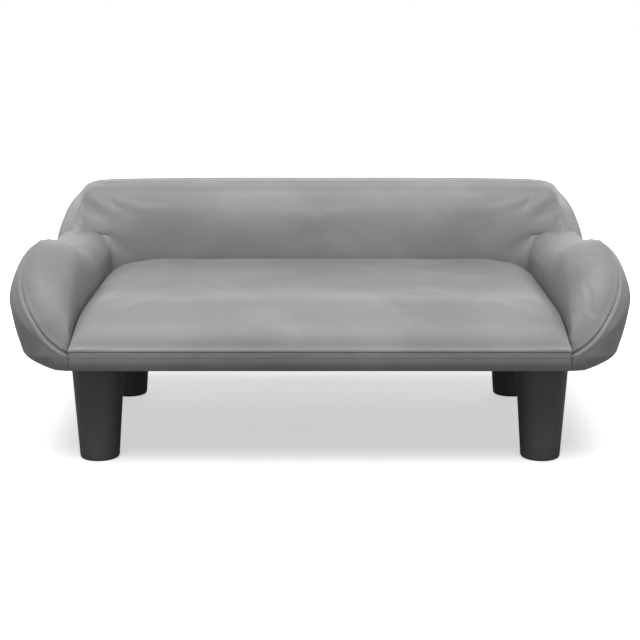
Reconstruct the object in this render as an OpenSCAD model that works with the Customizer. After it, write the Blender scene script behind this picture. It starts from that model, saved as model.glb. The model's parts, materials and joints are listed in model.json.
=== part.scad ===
// Small dog sofa bed: a padded seat between two flared arms, a high padded back
// and four tapered legs. The frame is timber and plywood, bolted together.
// Origin on the floor under the middle, +X to the right, +Y to the back, +Z up.

/* [Overall] */
// Width over both arms
width = 700; // [620:10:900]
// Depth from the seat front to the rear panel
depth = 450; // [400:10:600]
// Height from the floor to the top of the back
height = 277; // [262:1:330]

/* [Seat] */
// Width between the arms
seat_w = 540; // [460:10:600]
// Thickness of the seat foam in the middle
seat_foam_h = 48; // [38:1:60]
// How far back the front edge of the seat cushion rolls
seat_nose_l = 70; // [40:5:90]
// Radius of the seat's rear corners, seen from above
seat_corner_r = 55; // [30:5:80]
// Radius of the front band's lower edge
band_r = 12; // [6:1:14]
// How far the front band leans back under the seat
band_lean = 5; // [2:1:6]
// Width of the frame rails
rail_w = 40; // [30:1:50]
// Thickness of the frame rails
rail_t = 17; // [15:1:25]
// Thickness of the plywood deck
deck_t = 5; // [4:0.5:9]

/* [Arms] */
// Height of the arm at its hump, above the floor
arm_hump_z = 243; // [228:1:255]
// Height of the arm along the rear half, above the floor
arm_rear_z = 215; // [200:1:225]
// Height at which the arm is widest
arm_wide_z = 195; // [180:1:202]
// How far the arm front is rounded back, at its top
arm_nose_l = 106; // [75:1:125]
// Radius of the arm's outer front corner
arm_corner_r = 58; // [42:1:75]
// How much narrower the arm is at its front than at the back
arm_taper = 9; // [4:1:12]
// Share of the arm's width that its base rail takes up
arm_rail_share = 0.32; // [0.28:0.01:0.36]
// Thickness of the arm's plywood ribs
arm_rib_t = 15; // [12:1:18]
// Thickness of the arm's outer board
arm_board_t = 3; // [2:0.5:4]

/* [Back] */
// Thickness of the back at seat height, with the rear board
back_t = 96; // [86:1:120]
// Thickness of the rear board
board_t = 9; // [6:1:12]
// Thickness of the padded rear panel
rear_pad_t = 8; // [5:1:12]
// Thickness of the back's plywood ribs
back_rib_t = 15; // [12:1:18]

/* [Legs] */
// Height of the legs
leg_h = 114; // [95:1:120]
// Radius of a leg at its top
leg_top_r = 30; // [24:1:32]
// Radius of a leg at the floor
leg_foot_r = 22; // [16:1:24]
// Wall of the hollow legs
leg_wall = 2.5; // [2:0.5:4]
// Distance from the arm to the middle of a leg
leg_side_inset = 21; // [18:1:30]
// Distance from the front or rear of the bed to the middle of a leg
leg_end_inset = 80; // [65:5:90]
// Diameter of the stud that a leg turns onto
stud_d = 8; // [6:1:10]

/* [Cloth] */
// Thickness of the velvet covers
cover_t = 1.4; // [1:0.1:2]
// Thickness of the dust cover under the seat
dust_t = 0.8; // [0.5:0.1:1.2]

/* [Fasteners] */
// Diameter of the bolts that hold the arms and the back
bolt_d = 6; // [5:1:8]
// Share of the arm's base rail that its bolts reach into
bolt_reach_share = 0.56; // [0.4:0.02:0.8]
// Length of the back bolts under the head
back_bolt_l = 44; // [30:1:46]
// Diameter of the deck screws
screw_d = 4; // [3:0.5:5]
// Length of the deck screws
screw_l = 18; // [12:1:20]

/* [Hidden] */
$fn = 48;
gap = 0.3;
overrun = 2;

// Colours, as the photograph shows them
velvet = [0.55, 0.56, 0.54];
foam_colour = [0.9, 0.87, 0.74];
timber = [0.82, 0.68, 0.47];
plywood = [0.76, 0.6, 0.4];
zinc = [0.75, 0.76, 0.78];
black = [0.08, 0.08, 0.09];

// Heights of the frame
frame_z = leg_h + cover_t + gap;
deck_z = frame_z + rail_t;
deck_top = deck_z + deck_t;
seat_top = deck_top + seat_foam_h;
bolt_z = frame_z + rail_t / 2;

// Places from front to back
band_inset = 1;
frame_front = -depth / 2 + band_inset + cover_t + gap;
board_front = depth / 2 - rear_pad_t - board_t;
board_rear = board_front + board_t;
back_front = depth / 2 - back_t;
frame_half = seat_w / 2 - gap;

// Arm envelope, as the right arm
arm_setback = 3;
arm_front = -depth / 2 + arm_setback;
arm_w = (width - seat_w) / 2;
arm_tip = seat_w / 2 + 0.15 * arm_w;
arm_edge_r = 0.05 * arm_w;
arm_under_r = 1.3 * band_r;
arm_low_corner_r = 1.47 * arm_corner_r;
arm_taper_l = 0.8 * depth;
arm_inner_lift = 5;
arm_inner_z = arm_wide_z + arm_inner_lift;
arm_bulge = 2;
arm_crease = 4;
hump_y = arm_front + 1.08 * arm_nose_l;
hump_l = 0.97 * arm_nose_l;
ridge_front_share = 0.475;
ridge_rear_share = 0.44;
arm_seam_shares = [[0, 30], [0.05, 34], [0.14, 42], [0.3, 50], [0.5, 58], [0.72, 66], [1, 70], [1.6, 60], [2.4, 50]];
arm_station_shares = [0.005, 0.025, 0.07, 0.15, 0.27, 0.43, 0.63, 0.84, 1, 1.3, 1.65, 2.1];
nose_cap_share = 0.06;

// Half outline of the whole bed seen from behind, as shares of the arm's width,
// from the seat outwards, and of the height above the legs
outline_shares = [
    [0.47, 0], [0.62, 0.026], [0.856, 0.077], [0.912, 0.161], [0.966, 0.321],
    [1, 0.52], [0.971, 0.552], [0.928, 0.615], [0.872, 0.681], [0.811, 0.747],
    [0.725, 0.813], [0.606, 0.878], [0.512, 0.928], [0.412, 0.961], [0.163, 0.983]
];
// The outline's last points over the seat, as shares of half the seat's width
crest_shares = [[0.74, 0.995], [0.324, 1]];
body_h = height - leg_h;
widest = 5;

// Back envelope
facet_x = seat_w / 2 + 0.611 * arm_w;
back_levels_share = [0, 0.18, 0.34, 0.52];
roll_shares = [[0.02, 0], [0.05, 0.24], [0.11, 0.44], [0.2, 0.62], [0.31, 0.79], [0.46, 0.91], [0.66, 0.98], [0.86, 1], [1, 0.985]];
ear_fade_z = 50;

// Frame inside the arms
arm_frame_front = arm_front + 0.42 * arm_nose_l;
arm_frame_z = leg_h + cover_t + 2 * gap;
arm_rail_x = seat_w / 2 + cover_t + 2 * gap;
arm_rail_w = arm_rail_share * arm_w;
arm_rail_top = arm_frame_z + rail_t;
rib_x = arm_rail_x + 0.64 * arm_rail_w;
rib_w = 0.34 * arm_w;
rib_top = arm_wide_z + gap;
rib_chamfer = 0.3 * rib_w;
rib_shoulder = rib_top - rib_chamfer;
top_rail_h = 0.7 * (rib_top - arm_rail_top);
top_rail_w = 0.6 * rib_w;
top_rail_x = rib_x + (rib_w - top_rail_w) / 2;

// Frame inside the back
back_rib_front = back_front + 0.26 * back_t;
back_rib_top = height - rail_w;
back_rail_top = back_rib_top + rail_t;
back_rail_half = seat_w / 2 - rail_t;
back_rib_shares = [-0.66, -0.22, 0.22, 0.66];

// Fastener sizes that follow their diameters
head_d = 1.8 * bolt_d;
head_h = 0.5 * bolt_d;
bore_r = bolt_d / 2 + gap;
bolt_l = rail_w + arm_rail_x - frame_half + bolt_reach_share * arm_rail_w;
brace = 1.5 * rail_w;
arm_bolt_y = board_front - rail_w - brace - 1.5 * bolt_d;
side_screw_y = 0.6 * arm_bolt_y;
back_bolt_shares = [-0.75, -0.25, 0.25, 0.75];
stud_low = leg_h - 2.2 * stud_d;
nut_d = 2.4 * stud_d;
nut_t = 1.2;
barrel_d = 1.375 * stud_d;
leg_x = seat_w / 2 - leg_side_inset;
leg_y = depth / 2 - leg_end_inset;
leg_boss_r = 0.9 * stud_d;
leg_edge_r = 2.5;

function clamp01(t) = min(max(t, 0), 1);
function quarter(t) = sqrt(1 - pow(1 - clamp01(t), 2));
function smooth(t) = clamp01(t) * clamp01(t) * (3 - 2 * clamp01(t));
function mix(a, b, t) = a + (b - a) * t;
function mean(points) = sum(points) / len(points);
function sum(points, i = 0) = i == len(points) - 1 ? points[i] : points[i] + sum(points, i + 1);

// Grids: a list of rings, each a list of points. The outside of a grid lies where
// the cross product of ring step and column step points.
function wrapped(i, n, closed) = closed ? (i + n) % n : min(max(i, 0), n - 1);
function column_step(g, i, j, closed) =
    g[i][wrapped(j + 1, len(g[i]), closed)] - g[i][wrapped(j - 1, len(g[i]), closed)];
function ring_step(g, i, j) = g[min(i + 1, len(g) - 1)][j] - g[max(i - 1, 0)][j];
function outward(g, i, j, closed) =
    let (n = cross(ring_step(g, i, j), column_step(g, i, j, closed))) n / norm(n);
function inset(g, t, closed) =
    [for (i = [0:len(g) - 1]) [for (j = [0:len(g[i]) - 1]) g[i][j] - t * outward(g, i, j, closed)]];
function raised(g, low) = [for (ring = g) [for (p = ring) [p[0], p[1], max(p[2], low)]]];
function columns(g, first, last) = [for (ring = g) [for (j = [first:last]) ring[j % len(ring)]]];
function flat(lists) = [for (list = lists) for (item = list) item];
function cell(a, b, c, d) = [[a, b, c], [a, c, d]];

// A closed solid from closed rings, each end closed by a fan about its middle
module ring_solid(g) {
    rows = len(g);
    cols = len(g[0]);
    points = concat(flat(g), [mean(g[0]), mean(g[rows - 1])]);
    front_hub = rows * cols;
    rear_hub = front_hub + 1;
    walls = flat([for (i = [0:rows - 2]) for (j = [0:cols - 1])
        let (k = (j + 1) % cols)
        cell(i * cols + j, i * cols + k, (i + 1) * cols + k, (i + 1) * cols + j)]);
    front = [for (j = [0:cols - 1]) [front_hub, (j + 1) % cols, j]];
    rear = [for (j = [0:cols - 1]) [rear_hub, (rows - 1) * cols + j, (rows - 1) * cols + (j + 1) % cols]];
    polyhedron(points = points, faces = concat(walls, front, rear));
}

// A sheet between an outer and an inner grid of the same shape, with a rim all round
module sheet_solid(outer, inner) {
    rows = len(outer);
    cols = len(outer[0]);
    half = rows * cols;
    skins = flat([for (i = [0:rows - 2]) for (j = [0:cols - 2])
        let (a = i * cols + j, b = a + 1, c = b + cols, d = a + cols)
        concat(cell(a, b, c, d), cell(half + a, half + d, half + c, half + b))]);
    ends = flat([for (j = [0:cols - 2])
        let (a = j, b = j + 1, c = (rows - 1) * cols + j, d = c + 1)
        concat(cell(a, half + a, half + b, b), cell(d, half + d, half + c, c))]);
    sides = flat([for (i = [0:rows - 2])
        let (a = i * cols, b = a + cols, c = a + cols - 1, d = c + cols)
        concat(cell(b, half + b, half + a, a), cell(c, half + c, half + d, d))]);
    polyhedron(points = concat(flat(outer), flat(inner)), faces = concat(skins, ends, sides));
}

// The arm: closed cross sections from the front tip to the rear board
function arm_ridge_z(y) = mix(arm_hump_z, arm_rear_z, smooth((y - hump_y) / hump_l));
function arm_ridge_x(y) =
    seat_w / 2 + arm_w * mix(ridge_front_share, ridge_rear_share, smooth((y - hump_y) / hump_l));
function arm_nose_x(x, d, r) = arm_tip + (x - arm_tip) * quarter(d / r);
function arm_nose_z(z, d) = mix(deck_top, z, quarter(d / (z > deck_top ? arm_nose_l : arm_under_r)));
function arm_corner(z) = mix(arm_low_corner_r, arm_corner_r, clamp01((z - leg_h) / (arm_wide_z - leg_h)));
function outline_x(k) = seat_w / 2 + outline_shares[k][0] * arm_w;
outline_half = concat(
    [for (k = [0:len(outline_shares) - 1]) [outline_x(k), leg_h + outline_shares[k][1] * body_h]],
    [for (s = crest_shares) [s[0] * seat_w / 2, leg_h + s[1] * body_h]]
);
function arm_slim(y) = arm_taper * (1 - smooth((y - arm_front) / arm_taper_l));
function arm_side_z(k) = leg_h + (arm_wide_z - leg_h) * outline_shares[k][1] / outline_shares[widest][1];
function arm_section(y) =
    let (
        d = y - arm_front,
        edge = arm_edge_r,
        ridge_x = arm_ridge_x(y),
        ridge_z = arm_ridge_z(y),
        seam = lookup(d / arm_nose_l, arm_seam_shares),
        inner_x = seat_w / 2,
        slim = arm_slim(y),
        over = width / 2 - slim - ridge_x,
        under = ridge_x - inner_x + arm_bulge,
        inner_low = deck_top,
        inner_h = arm_inner_z - inner_low,
        outer = concat(
            [for (k = [0:widest - 1]) [outline_x(k) - slim, arm_side_z(k)]],
            [for (k = [0:3]) let (a = seam * k / 3)
                [ridge_x + over * cos(a), arm_wide_z + (ridge_z - arm_wide_z) * sin(a)]],
            [for (k = [1:2]) let (a = mix(seam, 90, k / 2))
                [ridge_x + over * cos(a), arm_wide_z + (ridge_z - arm_wide_z) * sin(a)]]),
        inner = concat(
            [for (a = [68, 45, 22, 0])
                [ridge_x - under * cos(a), arm_inner_z + (ridge_z - arm_inner_z) * sin(a)]],
            [[inner_x, inner_low + 0.68 * inner_h],
             [inner_x + arm_crease, inner_low + 0.36 * inner_h],
             [inner_x + arm_crease / 2, inner_low + 0.12 * inner_h]])
    )
    concat(
        [[arm_nose_x(inner_x, d, edge), y, arm_nose_z(deck_top, d)]],
        [[arm_nose_x(inner_x, d, edge), y, arm_nose_z(leg_h, d)]],
        [for (p = outer) [arm_nose_x(p[0], d, arm_corner(p[1])), y, arm_nose_z(p[1], d)]],
        [for (p = inner) [arm_nose_x(p[0], d, edge), y, arm_nose_z(p[1], d)]]
    );
arm_seam_column = widest + 5;
arm_columns = widest + 15;
function toward(ring, target, share, shift) =
    [for (p = ring) mix(target, p, share) - [0, shift, 0]];
arm_tip_ring = arm_section(arm_front + arm_station_shares[0] * arm_nose_l);
arm_grid = concat(
    [toward(arm_tip_ring, mean(arm_tip_ring), nose_cap_share, gap)],
    [for (s = arm_station_shares) arm_section(arm_front + s * arm_nose_l)],
    [arm_section((hump_y + hump_l + board_front) / 2), arm_section(board_front - gap)]
);
arm_foam_grid = inset(arm_grid, cover_t + gap, true);

// What the arm's frame takes up, seen from the front
module arm_hollow_outline(loose) {
    polygon([
        [seat_w / 2 - overrun, leg_h - overrun],
        [arm_rail_x + arm_rail_w + loose, leg_h - overrun],
        [arm_rail_x + arm_rail_w + loose, arm_rail_top],
        [rib_x + rib_w + arm_board_t + loose, arm_rail_top],
        [rib_x + rib_w + arm_board_t + loose, rib_shoulder],
        [rib_x + rib_w - rib_chamfer + arm_board_t + loose, rib_top + loose],
        [rib_x + rib_chamfer - loose, rib_top + loose],
        [rib_x - loose, rib_shoulder],
        [rib_x - loose, arm_rail_top + loose],
        [seat_w / 2 - overrun, arm_rail_top + loose]
    ]);
}

module upright_slab(y0, y1) {
    translate([0, y1, 0])
        rotate([90, 0, 0])
        linear_extrude(y1 - y0)
        children();
}

module box_between(low, high) {
    translate(low)
        cube(high - low);
}

module side_bores(r) {
    for (y = [-arm_bolt_y, arm_bolt_y])
        translate([seat_w / 2 - rail_w - overrun, y, bolt_z])
        rotate([0, 90, 0])
        cylinder(h = bolt_l + 2 * overrun, r = r);
}

module arm_foam() {
    color(foam_colour)
    difference() {
        ring_solid(arm_foam_grid);
        upright_slab(arm_frame_front - gap, board_front + overrun) arm_hollow_outline(gap);
    }
}

module arm_inner_cover() {
    inner = inset(arm_grid, cover_t, true);
    color(velvet)
    sheet_solid(columns(arm_grid, arm_seam_column, arm_columns), columns(inner, arm_seam_column, arm_columns));
}

module arm_outer_cover() {
    inner = inset(arm_grid, cover_t, true);
    color(velvet)
    difference() {
        sheet_solid(columns(arm_grid, 0, arm_seam_column), columns(inner, 0, arm_seam_column));
        side_bores(bore_r);
    }
}

module arm_base_rail() {
    color(timber)
    difference() {
        box_between(
            [arm_rail_x, arm_frame_front, arm_frame_z],
            [arm_rail_x + arm_rail_w, board_front - gap, arm_rail_top]);
        side_bores(bore_r);
    }
}

module arm_rib_outline() {
    polygon([
        [rib_x, arm_rail_top], [rib_x + rib_w, arm_rail_top], [rib_x + rib_w, rib_shoulder],
        [rib_x + rib_w - rib_chamfer, rib_top], [rib_x + rib_chamfer, rib_top], [rib_x, rib_shoulder]
    ]);
}

module arm_front_rib() {
    color(plywood)
    upright_slab(arm_frame_front, arm_frame_front + arm_rib_t) arm_rib_outline();
}

module arm_rear_rib() {
    color(plywood)
    upright_slab(board_front - gap - arm_rib_t, board_front - gap) arm_rib_outline();
}

module arm_top_rail() {
    color(timber)
    box_between(
        [top_rail_x, arm_frame_front + arm_rib_t, rib_shoulder - top_rail_h],
        [top_rail_x + top_rail_w, board_front - gap - arm_rib_t, rib_shoulder]);
}

module arm_outer_board() {
    color(plywood)
    box_between(
        [rib_x + rib_w, arm_frame_front, arm_rail_top],
        [rib_x + rib_w + arm_board_t, board_front - gap, rib_shoulder]);
}

// The back: closed sections across Y and Z, one for each place along X
top_table = [for (k = [len(outline_half) - 1:-1:widest + 1]) outline_half[k]];
function top_z(x) = lookup(abs(x), top_table);
function arm_top_z(x) =
    let (rx = arm_ridge_x(board_front), over = width / 2 - rx, under = rx - seat_w / 2 + arm_bulge)
    x > rx
        ? arm_wide_z + (arm_rear_z - arm_wide_z) * sqrt(max(0, 1 - pow((x - rx) / over, 2)))
        : arm_inner_z + (arm_rear_z - arm_inner_z) * sqrt(max(0, 1 - pow((rx - x) / under, 2)));
back_side_x = seat_w / 2 - arm_bulge - 5 * gap;
function back_low_z(x) = abs(x) <= back_side_x ? deck_top : arm_top_z(abs(x)) + 5 * gap;
function over_arm(g) = [for (ring = g) [for (p = ring) [p[0], p[1], max(p[2], back_low_z(p[0]))]]];
function ear(x) =
    let (reach = abs(x) - (back_side_x - seat_corner_r))
    reach <= 0 ? 0
    : abs(x) <= back_side_x ? seat_corner_r * (1 - quarter(1 - min(reach / seat_corner_r, 0.97)))
    : seat_corner_r * 0.76 * max(0, 1 - (abs(x) - back_side_x) / arm_crease / 2);
function face_y(x, z) =
    back_front + (z > seat_top ? 0.02 * back_t * clamp01((z - seat_top) / (arm_rear_z - seat_top)) : 0)
    - ear(x) * (1 - smooth((z - seat_top) / ear_fade_z));
function facet_front(x) = abs(x) < facet_x ? 0
    : (abs(x) - facet_x) / (width / 2 - facet_x);
function back_section(x) =
    let (
        low = back_low_z(x),
        top = top_z(x),
        high = abs(x) > back_side_x,
        roll_z = high ? max(min(arm_rear_z, mix(low, top, 0.35)), mix(low, top, 0.06)) : arm_rear_z,
        shift = facet_front(x),
        rear = board_front - gap,
        levels = [for (k = [0:len(back_levels_share) - 1])
            max(mix(deck_top, height, back_levels_share[k]), mix(low, roll_z, k / len(back_levels_share)))]
    )
    concat(
        [[x, rear, low]],
        [for (k = [0:len(levels) - 1]) let (z = min(levels[k], mix(low, roll_z, 0.25 * (k + 1))))
            let (zz = high ? z : levels[k]) [x, mix(face_y(x, zz), rear, shift), zz]],
        [for (s = roll_shares) let (z = mix(roll_z, top, s[1]), y = mix(face_y(x, z), rear, s[0]))
            [x, mix(y, rear, shift), z]]
    );
back_place_shares = [0, 0.3, 0.6, 0.78, 0.84, 0.89, 0.94, 0.975, 1];
wing_place_shares = [0.003, 0.06, 0.14, 0.26, 0.42, 0.56, 0.63, 0.73, 0.83, 0.93];
back_half = concat(
    [for (s = back_place_shares) s * back_side_x],
    [for (s = wing_place_shares) mix(back_side_x, width / 2, s)]
);
back_places = concat([for (k = [len(back_half) - 1:-1:1]) -back_half[k]], back_half);
back_grid = [for (x = back_places) back_section(x)];

module back_hollow_outline(loose) {
    polygon([
        [board_front + overrun, deck_top - overrun],
        [back_rib_front - loose, deck_top - overrun],
        [back_rib_front - loose, back_rib_top - rail_t],
        [board_front - rail_w - loose, back_rib_top],
        [board_front - rail_w - loose, back_rail_top + loose],
        [board_front + overrun, back_rail_top + loose]
    ]);
}

// Stands an outline drawn in Y and Z upright and gives it a width along X
module cross_slab(x0, x1) {
    translate([x0, 0, 0])
        rotate([90, 0, 90])
        linear_extrude(x1 - x0)
        children();
}

module back_foam() {
    front = over_arm(inset(columns(back_grid, 1, len(back_grid[0]) - 1), cover_t + gap, false));
    ends = 2;
    settled = [for (i = [ends:len(front) - 1 - ends])
        concat([[front[i][0][0], board_front - gap, front[i][0][2]]], front[i])];
    color(foam_colour)
    difference() {
        ring_solid(settled);
        cross_slab(-back_rail_half - gap, back_rail_half + gap) back_hollow_outline(gap);
    }
}

module back_front_cover() {
    front = columns(back_grid, 1, len(back_grid[0]) - 1);
    color(velvet)
    sheet_solid(front, over_arm(inset(front, cover_t, false)));
}

function outline_ring(margin, y) =
    let (
        half = outline_half,
        hub = [0, leg_h + body_h / 2],
        whole = concat(half, [for (k = [len(half) - 1:-1:0]) [-half[k][0], half[k][1]]]),
        shrunk = [for (p = whole) p - margin * (p - hub) / norm(p - hub) * 1.2]
    )
    [for (p = shrunk) [p[0], y, p[1]]];

module board_outline() {
    polygon([for (p = outline_ring(cover_t + 2 * gap, 0)) [p[0], p[2]]]);
}

module back_board() {
    color(plywood)
    difference() {
        upright_slab(board_front, board_rear) board_outline();
        back_bolt_places() {
            cylinder(h = back_bolt_l, r = bore_r, center = true);
            cylinder(h = head_h + gap, r = head_d / 2 + gap);
        }
    }
}

module back_bolt_places() {
    for (share = back_bolt_shares)
        translate([share * frame_half, board_rear - head_h - gap, bolt_z])
        rotate([-90, 0, 0])
        children();
}

module back_ribs() {
    color(plywood)
    for (share = back_rib_shares)
        let (x = share * back_rail_half)
        cross_slab(x - back_rib_t / 2, x + back_rib_t / 2)
        polygon([
            [board_front, deck_top], [back_rib_front, deck_top],
            [back_rib_front, back_rib_top - rail_t], [board_front - rail_w, back_rib_top],
            [board_front, back_rib_top]
        ]);
}

module back_top_rail() {
    color(timber)
    box_between(
        [-back_rail_half, board_front - rail_w, back_rib_top],
        [back_rail_half, board_front, back_rail_top]);
}

module back_rear_cover() {
    plump_shares = [[0, 0.4], [0.012, 0.75], [0.05, 0.95], [0.4, 1]];
    half_h = body_h / 2;
    outer = concat(
        [outline_ring(0, board_front)],
        [for (s = plump_shares) outline_ring(s[0] * half_h, mix(board_rear, depth / 2, s[1]))]
    );
    flat_y = board_rear + gap;
    inner = concat(
        [outline_ring(cover_t, board_front), outline_ring(cover_t, flat_y)],
        [for (k = [1:len(plump_shares) - 1]) outline_ring(plump_shares[k][0] * half_h + cover_t, flat_y)]
    );
    rings = concat([for (k = [len(inner) - 1:-1:0]) inner[k]], outer);
    color(velvet)
    ring_solid([for (ring = rings) [for (k = [len(ring) - 1:-1:0]) ring[k]]]);
}

module back_bolts() {
    color(zinc)
    back_bolt_places() {
        translate([0, 0, -back_bolt_l])
            cylinder(h = back_bolt_l, d = bolt_d);
        cylinder(h = head_h, d = head_d);
    }
}

// The seat cushion: sections across Y and Z, one for each place along X
seat_clear = 5 * gap;
function seat_half(y) =
    let (start = back_front - seat_corner_r - seat_clear)
    back_side_x - seat_clear - seat_corner_r
    + seat_corner_r * (y < start ? 1 : quarter(1 - min((y - start) / seat_corner_r, 0.97)));
side_shares = [[0, 0.42], [0.008, 0.66], [0.025, 0.82], [0.055, 0.94], [0.1, 1], [0.35, 1], [0.7, 1]];
side_list = concat(
    [for (s = side_shares) [s[0] - 1, s[1]]], [[0, 1]],
    [for (k = [len(side_shares) - 1:-1:0]) [1 - side_shares[k][0], side_shares[k][1]]]
);
seat_rear_r = 0.26 * seat_foam_h;
crown_share = 0.05;
function seat_profile() =
    let (
        front = -depth / 2,
        rear = back_front - 5 * gap,
        mid = (front + seat_nose_l + rear - seat_rear_r) / 2,
        half = (rear - seat_rear_r - front - seat_nose_l) / 2
    )
    concat(
        [for (a = [0:15:90]) [front + seat_nose_l * (1 - cos(a)), seat_top - seat_foam_h * (1 - sin(a)), -1]],
        [for (s = [-0.7, -0.3, 0.1, 0.5, 0.8]) [mid + s * half, seat_top, s]],
        [for (a = [90:-30:0]) [rear - seat_rear_r * (1 - cos(a)), seat_top - seat_rear_r * (1 - sin(a)), 1]],
        [[rear, deck_top, 1]]
    );
function seat_section(t, rise) =
    [for (p = seat_profile())
        let (drop = crown_share * seat_foam_h * (pow(t, 2) + pow(p[2], 2)) / 2)
        [t * seat_half(p[0]), p[0], max(deck_top, mix(deck_top, p[1] - drop, rise))]];
seat_grid = [for (s = side_list) seat_section(s[0], s[1])];

module seat_foam() {
    g = raised(inset(seat_grid, cover_t + gap, false), deck_top);
    rings = [for (ring = g)
        concat([[ring[0][0], (ring[0][1] + ring[len(ring) - 1][1]) / 2, deck_top]], ring)];
    color(foam_colour)
    ring_solid(rings);
}

module seat_cover() {
    color(velvet)
    sheet_solid(seat_grid, raised(inset(seat_grid, cover_t, false), deck_top));
}

// The front band in profile: a straight slope from the seat's edge into a round foot
module band_outline(inset, top_z, rear_y) {
    front = frame_front - gap - cover_t;
    hull() {
        translate([front + band_lean + band_r, leg_h + band_r])
            circle(r = band_r - inset);
        translate([front + inset, top_z - cover_t])
            square([cover_t, cover_t]);
        translate([rear_y, leg_h + inset])
            square([cover_t, top_z - leg_h - inset]);
    }
}

// The velvet over the front rail: down the front face and round its lower edge
module front_band_cover() {
    under = frame_front + 0.6 * rail_w;
    color(velvet)
    cross_slab(-frame_half, frame_half)
    difference() {
        band_outline(0, deck_top - gap, under - cover_t);
        band_outline(cover_t, deck_top + overrun, under + overrun);
    }
}

// Seat frame
module screw_places() {
    for (x = [-0.6, 0, 0.6])
        for (y = [frame_front + rail_w / 2, board_front - rail_w / 2])
        translate([x * frame_half, y, deck_top])
        children();
    for (x = [-1, 0, 1])
        for (y = [-side_screw_y, side_screw_y])
        translate([x * (frame_half - rail_w / 2), y, deck_top])
        children();
}

module screw_body(loose) {
    translate([0, 0, -screw_l - loose])
        cylinder(h = screw_l + loose, d = screw_d + 2 * loose);
    translate([0, 0, -screw_d / 2])
        cylinder(h = screw_d / 2 + loose, r1 = screw_d / 2 + loose, r2 = screw_d + 2 * loose);
}

module leg_places() {
    for (x = [-1, 1])
        for (y = [-1, 1])
        translate([x * leg_x, y * leg_y, 0])
        children();
}

module rail_block(low, high) {
    difference() {
        box_between([low[0], low[1], frame_z], [high[0], high[1], deck_z]);
        screw_places() screw_body(gap);
        leg_places() {
            translate([0, 0, frame_z - overrun])
                cylinder(h = rail_t + 2 * overrun, d = barrel_d + 2 * gap);
            translate([0, 0, deck_z - nut_t - gap])
                cylinder(h = nut_t + overrun, d = nut_d + 2 * gap);
        }
        side_bores(bore_r);
        mirror([1, 0, 0]) side_bores(bore_r);
        back_bolt_places() cylinder(h = 2 * (back_bolt_l + gap), r = bore_r, center = true);
    }
}

module seat_front_rail() {
    color(timber)
    intersection() {
        rail_block([-frame_half, frame_front], [frame_half, frame_front + rail_w]);
        cross_slab(-frame_half, frame_half) band_outline(cover_t + 2 * gap, deck_top, frame_front + rail_w);
    }
}

module seat_rear_rail() {
    color(timber)
    rail_block([-frame_half, board_front - rail_w], [frame_half, board_front]);
}

module seat_side_rails() {
    color(timber)
    for (side = [-1, 1])
        let (low = side < 0 ? -frame_half : frame_half - rail_w)
        rail_block([low, frame_front + rail_w], [low + rail_w, board_front - rail_w]);
}

module seat_centre_rail() {
    color(timber)
    rail_block([-rail_w / 2, frame_front + rail_w], [rail_w / 2, board_front - rail_w]);
}

module corner_braces() {
    color(plywood)
    for (x = [-1, 1])
        for (y = [0, 1])
        translate([x * (frame_half - rail_w), y > 0 ? board_front - rail_w : frame_front + rail_w, frame_z])
        linear_extrude(rail_t)
        polygon([[0, 0], [-x * brace, 0], [0, (1 - 2 * y) * brace]]);
}

module seat_deck() {
    color(plywood)
    difference() {
        box_between([-frame_half, frame_front + band_lean, deck_z], [frame_half, board_front, deck_top]);
        screw_places() screw_body(gap);
        leg_places()
            translate([0, 0, deck_z - overrun])
            cylinder(h = overrun + nut_t, d = stud_d + 2 * gap);
    }
}

module frame_screws() {
    color(zinc)
    screw_places() screw_body(0);
}

module dust_cover() {
    color(black)
    difference() {
        box_between(
            [-frame_half, frame_front + 0.6 * rail_w + gap, leg_h],
            [frame_half, board_front, leg_h + dust_t]);
        leg_places()
            translate([0, 0, leg_h - overrun])
            cylinder(h = dust_t + 2 * overrun, d = stud_d + 2 * gap);
    }
}

// Legs: hollow cones with a boss for the stud and four ribs
module leg(x, y) {
    floor_t = 1.2 * leg_wall;
    slope = (leg_top_r - leg_foot_r) / leg_h;
    rib_gap = leg_wall + gap;
    color(black)
    translate([x * leg_x, y * leg_y, 0])
    difference() {
        union() {
            difference() {
                rotate_extrude()
                    polygon([
                        [0, 0], [leg_foot_r - leg_edge_r, 0], [leg_foot_r - leg_edge_r / 3, leg_edge_r / 3],
                        [leg_foot_r + slope * leg_edge_r, leg_edge_r], [leg_top_r, leg_h], [0, leg_h]
                    ]);
                rotate_extrude()
                    polygon([
                        [0, floor_t], [leg_foot_r + slope * floor_t - leg_wall, floor_t],
                        [leg_top_r - leg_wall, leg_h], [leg_top_r - leg_wall, leg_h + overrun],
                        [0, leg_h + overrun]
                    ]);
            }
            translate([0, 0, floor_t])
                cylinder(h = leg_h - floor_t, r = leg_boss_r);
            for (turn = [0, 90])
                rotate([0, 0, turn])
                translate([-leg_foot_r + rib_gap, -leg_wall / 2, floor_t])
                cube([2 * (leg_foot_r - rib_gap) + gap, leg_wall, leg_h - floor_t - rail_t]);
        }
        translate([0, 0, stud_low - gap])
            cylinder(h = leg_h, d = stud_d + gap);
    }
}

module leg_studs() {
    color(zinc)
    leg_places()
        translate([0, 0, stud_low])
        cylinder(h = deck_z - stud_low, d = stud_d);
}

module tee_nuts() {
    color(zinc)
    leg_places()
    difference() {
        union() {
            translate([0, 0, deck_z - nut_t])
                cylinder(h = nut_t, d = nut_d);
            translate([0, 0, deck_z - 0.7 * rail_t])
                cylinder(h = 0.7 * rail_t, d = barrel_d);
        }
        translate([0, 0, frame_z])
            cylinder(h = rail_t + overrun, d = stud_d + gap);
    }
}

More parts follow.
